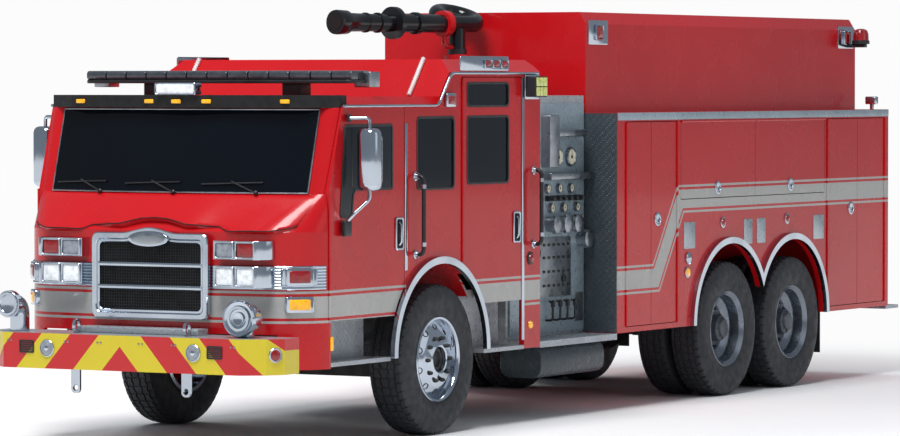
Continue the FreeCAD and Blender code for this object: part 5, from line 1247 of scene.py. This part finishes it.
def make_cab_inside():
    """Seats with crowned cushions on their stands, the engine cover, dash and steering wheel."""
    hard = []
    places = ((0.8, -0.765), (-0.8, -0.765), (0.4, 0.9), (-0.4, 0.9))
    for count, (x, y) in enumerate(places, 1):
        hard.append(block((x - 0.2, y - 0.18, 1.0505), (x + 0.2, y + 0.22, 1.3), "z", 0.03, 0.01))
        seat_pad = cushion((x - 0.24, y - 0.24, 1.3), (x + 0.24, y + 0.24, 1.42), 0.016, 2)
        points, faces = cushion((x - 0.24, y + 0.235, 1.4), (x + 0.24, y + 0.335, 2.02), 0.002)
        near = points[:, 1] < y + 0.285
        bulge = (1 - ((points[:, 0] - x) / 0.24) ** 2) * (1 - ((points[:, 2] - 1.71) / 0.33) ** 2)
        points[:, 1] += np.where(near, -0.014, 0.006) * np.clip(bulge, 0.0, 1.0)
        back = swung((points, faces), -8.0, (x, y + 0.28, 1.4), "x")
        piece("seat_cushion_%d" % count, VINYL, [seat_pad])
        piece("seat_back_%d" % count, VINYL, [back])
    hard.append(block((-0.43, -1.1, 1.0505), (0.43, 0.7, 1.48), "y", 0.06, 0.03))
    hard.append(block((-1.02, -1.56, 1.33), (1.02, -1.25, 1.64), "x", 0.06, 0.02))
    hard.append(block((-0.78, -1.5, 1.0505), (0.78, -1.35, 1.34), "x", 0.03, 0.01))
    hub, column = np.array((0.8, -1.13, 1.62)), (0.0, 0.7, 0.71)
    _, side, up = basis(column)
    grip, sides, steps = 0.016, 12, 48
    ring = turned([(grip * math.cos(t), 0.23 + grip * math.sin(t))
                   for t in np.linspace(0, 2 * math.pi, sides + 1)[:-1]], column, hub, steps)
    hard.append(closed(ring[0].reshape(sides, steps, 3), ring=True))
    hard.append(turned([(-0.2, 0.03), (-0.02, 0.03), (-0.01, 0.055), (0.012, 0.05), (0.014, 0.01)],
                       column, hub, 24))
    for turn in THIRDS:
        spoke = 0.225 * (math.cos(turn) * side + math.sin(turn) * up)
        hard.append(tube([hub, hub + spoke], 0.012, 0.01, 8))
    piece("cab_trim", SATIN_BLACK, hard, over=["cab_interior"])


for make in (make_wheels, make_grille, make_nose_lamps, make_mirrors, make_light_bar, make_monitor,
             make_bumper_parts, make_screen_parts, make_cab_sides, make_rails, make_pump_panel,
             make_body_parts, make_monitor_parts, make_cab_inside):
    make()


# The floor, the light and the camera


def stage_sheet():
    """A pale, level floor that takes shadows near the truck and fades into an even light further off."""
    half, fade_from, fade_to = 60.0, 5.0, 10.0
    mesh = bpy.data.meshes.new("floor")
    corners = [(-half, -half, 0.0), (half, -half, 0.0), (half, half, 0.0), (-half, half, 0.0)]
    mesh.from_pydata(corners, [], [(0, 1, 2, 3)])
    floor = bpy.data.objects.new("floor", mesh)
    bpy.context.scene.collection.objects.link(floor)
    finish = Finish("floor_paint", linear(250, 250, 250), 0.9)
    finish.mottle(linear(252, 252, 252), linear(249, 249, 249), 0.4)
    across, along, _ = finish.axes()
    squares = [finish.sum("MULTIPLY", value, value) for value in (across, along)]
    apart = finish.sum("SQRT", finish.sum("ADD", *squares))
    glow = finish.tree.nodes.new("ShaderNodeEmission")
    glow.inputs["Color"].default_value = linear(252, 252, 252)
    mix = finish.tree.nodes.new("ShaderNodeMixShader")
    finish.join(finish.spread(apart, fade_from, fade_to), mix.inputs[0])
    finish.join(finish.shader.outputs[0], mix.inputs[1])
    finish.join(glow.outputs[0], mix.inputs[2])
    finish.join(mix.outputs[0], finish.tree.nodes["Material Output"].inputs["Surface"])
    floor.data.materials.append(finish.material)


def soft_light():
    """An even pale sky, white to the camera, and three wide lamps: above, at the side and behind."""
    world = bpy.data.worlds.new("sky")
    bpy.context.scene.world = world
    world.use_nodes = True
    tree = world.node_tree
    sky = tree.nodes["Background"]
    sky.inputs["Color"].default_value = linear(205, 214, 226)
    sky.inputs["Strength"].default_value = 0.4
    seen = tree.nodes.new("ShaderNodeBackground")
    seen.inputs["Color"].default_value = linear(252, 252, 252)
    seen.inputs["Strength"].default_value = 1.0
    path = tree.nodes.new("ShaderNodeLightPath")
    mix = tree.nodes.new("ShaderNodeMixShader")
    tree.links.new(path.outputs["Is Camera Ray"], mix.inputs["Fac"])
    tree.links.new(sky.outputs[0], mix.inputs[1])
    tree.links.new(seen.outputs[0], mix.inputs[2])
    tree.links.new(mix.outputs[0], tree.nodes["World Output"].inputs["Surface"])
    aim = Vector((0.0, -2.0, 1.2))
    for name, place, size, power in (
        ("key", (2.0, -12.0, 20.0), 9.0, 4600.0),
        ("side", (20.0, 2.0, 9.0), 12.0, 260.0),
        ("back", (-14.0, 14.0, 14.0), 12.0, 2600.0),
    ):
        lamp = bpy.data.lights.new(name, "AREA")
        lamp.size = size
        lamp.energy = power
        thing = bpy.data.objects.new(name, lamp)
        thing.location = place
        thing.visible_glossy = name != "back"
        thing.rotation_euler = (aim - Vector(place)).to_track_quat("-Z", "Y").to_euler()
        bpy.context.scene.collection.objects.link(thing)


def set_camera():
    """A long lens from ahead on the left, a little above the bumper, looking slightly down."""
    turn, dip = math.radians(29.672), math.radians(1.716)
    ahead = Vector((-math.sin(turn) * math.cos(dip), math.cos(turn) * math.cos(dip), -math.sin(dip)))
    lens_data = bpy.data.cameras.new("camera")
    lens_data.sensor_width = 36.0
    lens_data.lens = 180.63
    lens_data.clip_end = 300.0
    camera = bpy.data.objects.new("camera", lens_data)
    camera.location = (17.801, -28.901 + AXLE_Y, 2.601)
    camera.rotation_euler = ahead.to_track_quat("-Z", "Y").to_euler()
    bpy.context.scene.collection.objects.link(camera)
    bpy.context.scene.camera = camera


stage_sheet()
soft_light()
set_camera()
bpy.context.scene.view_settings.view_transform = "Standard"
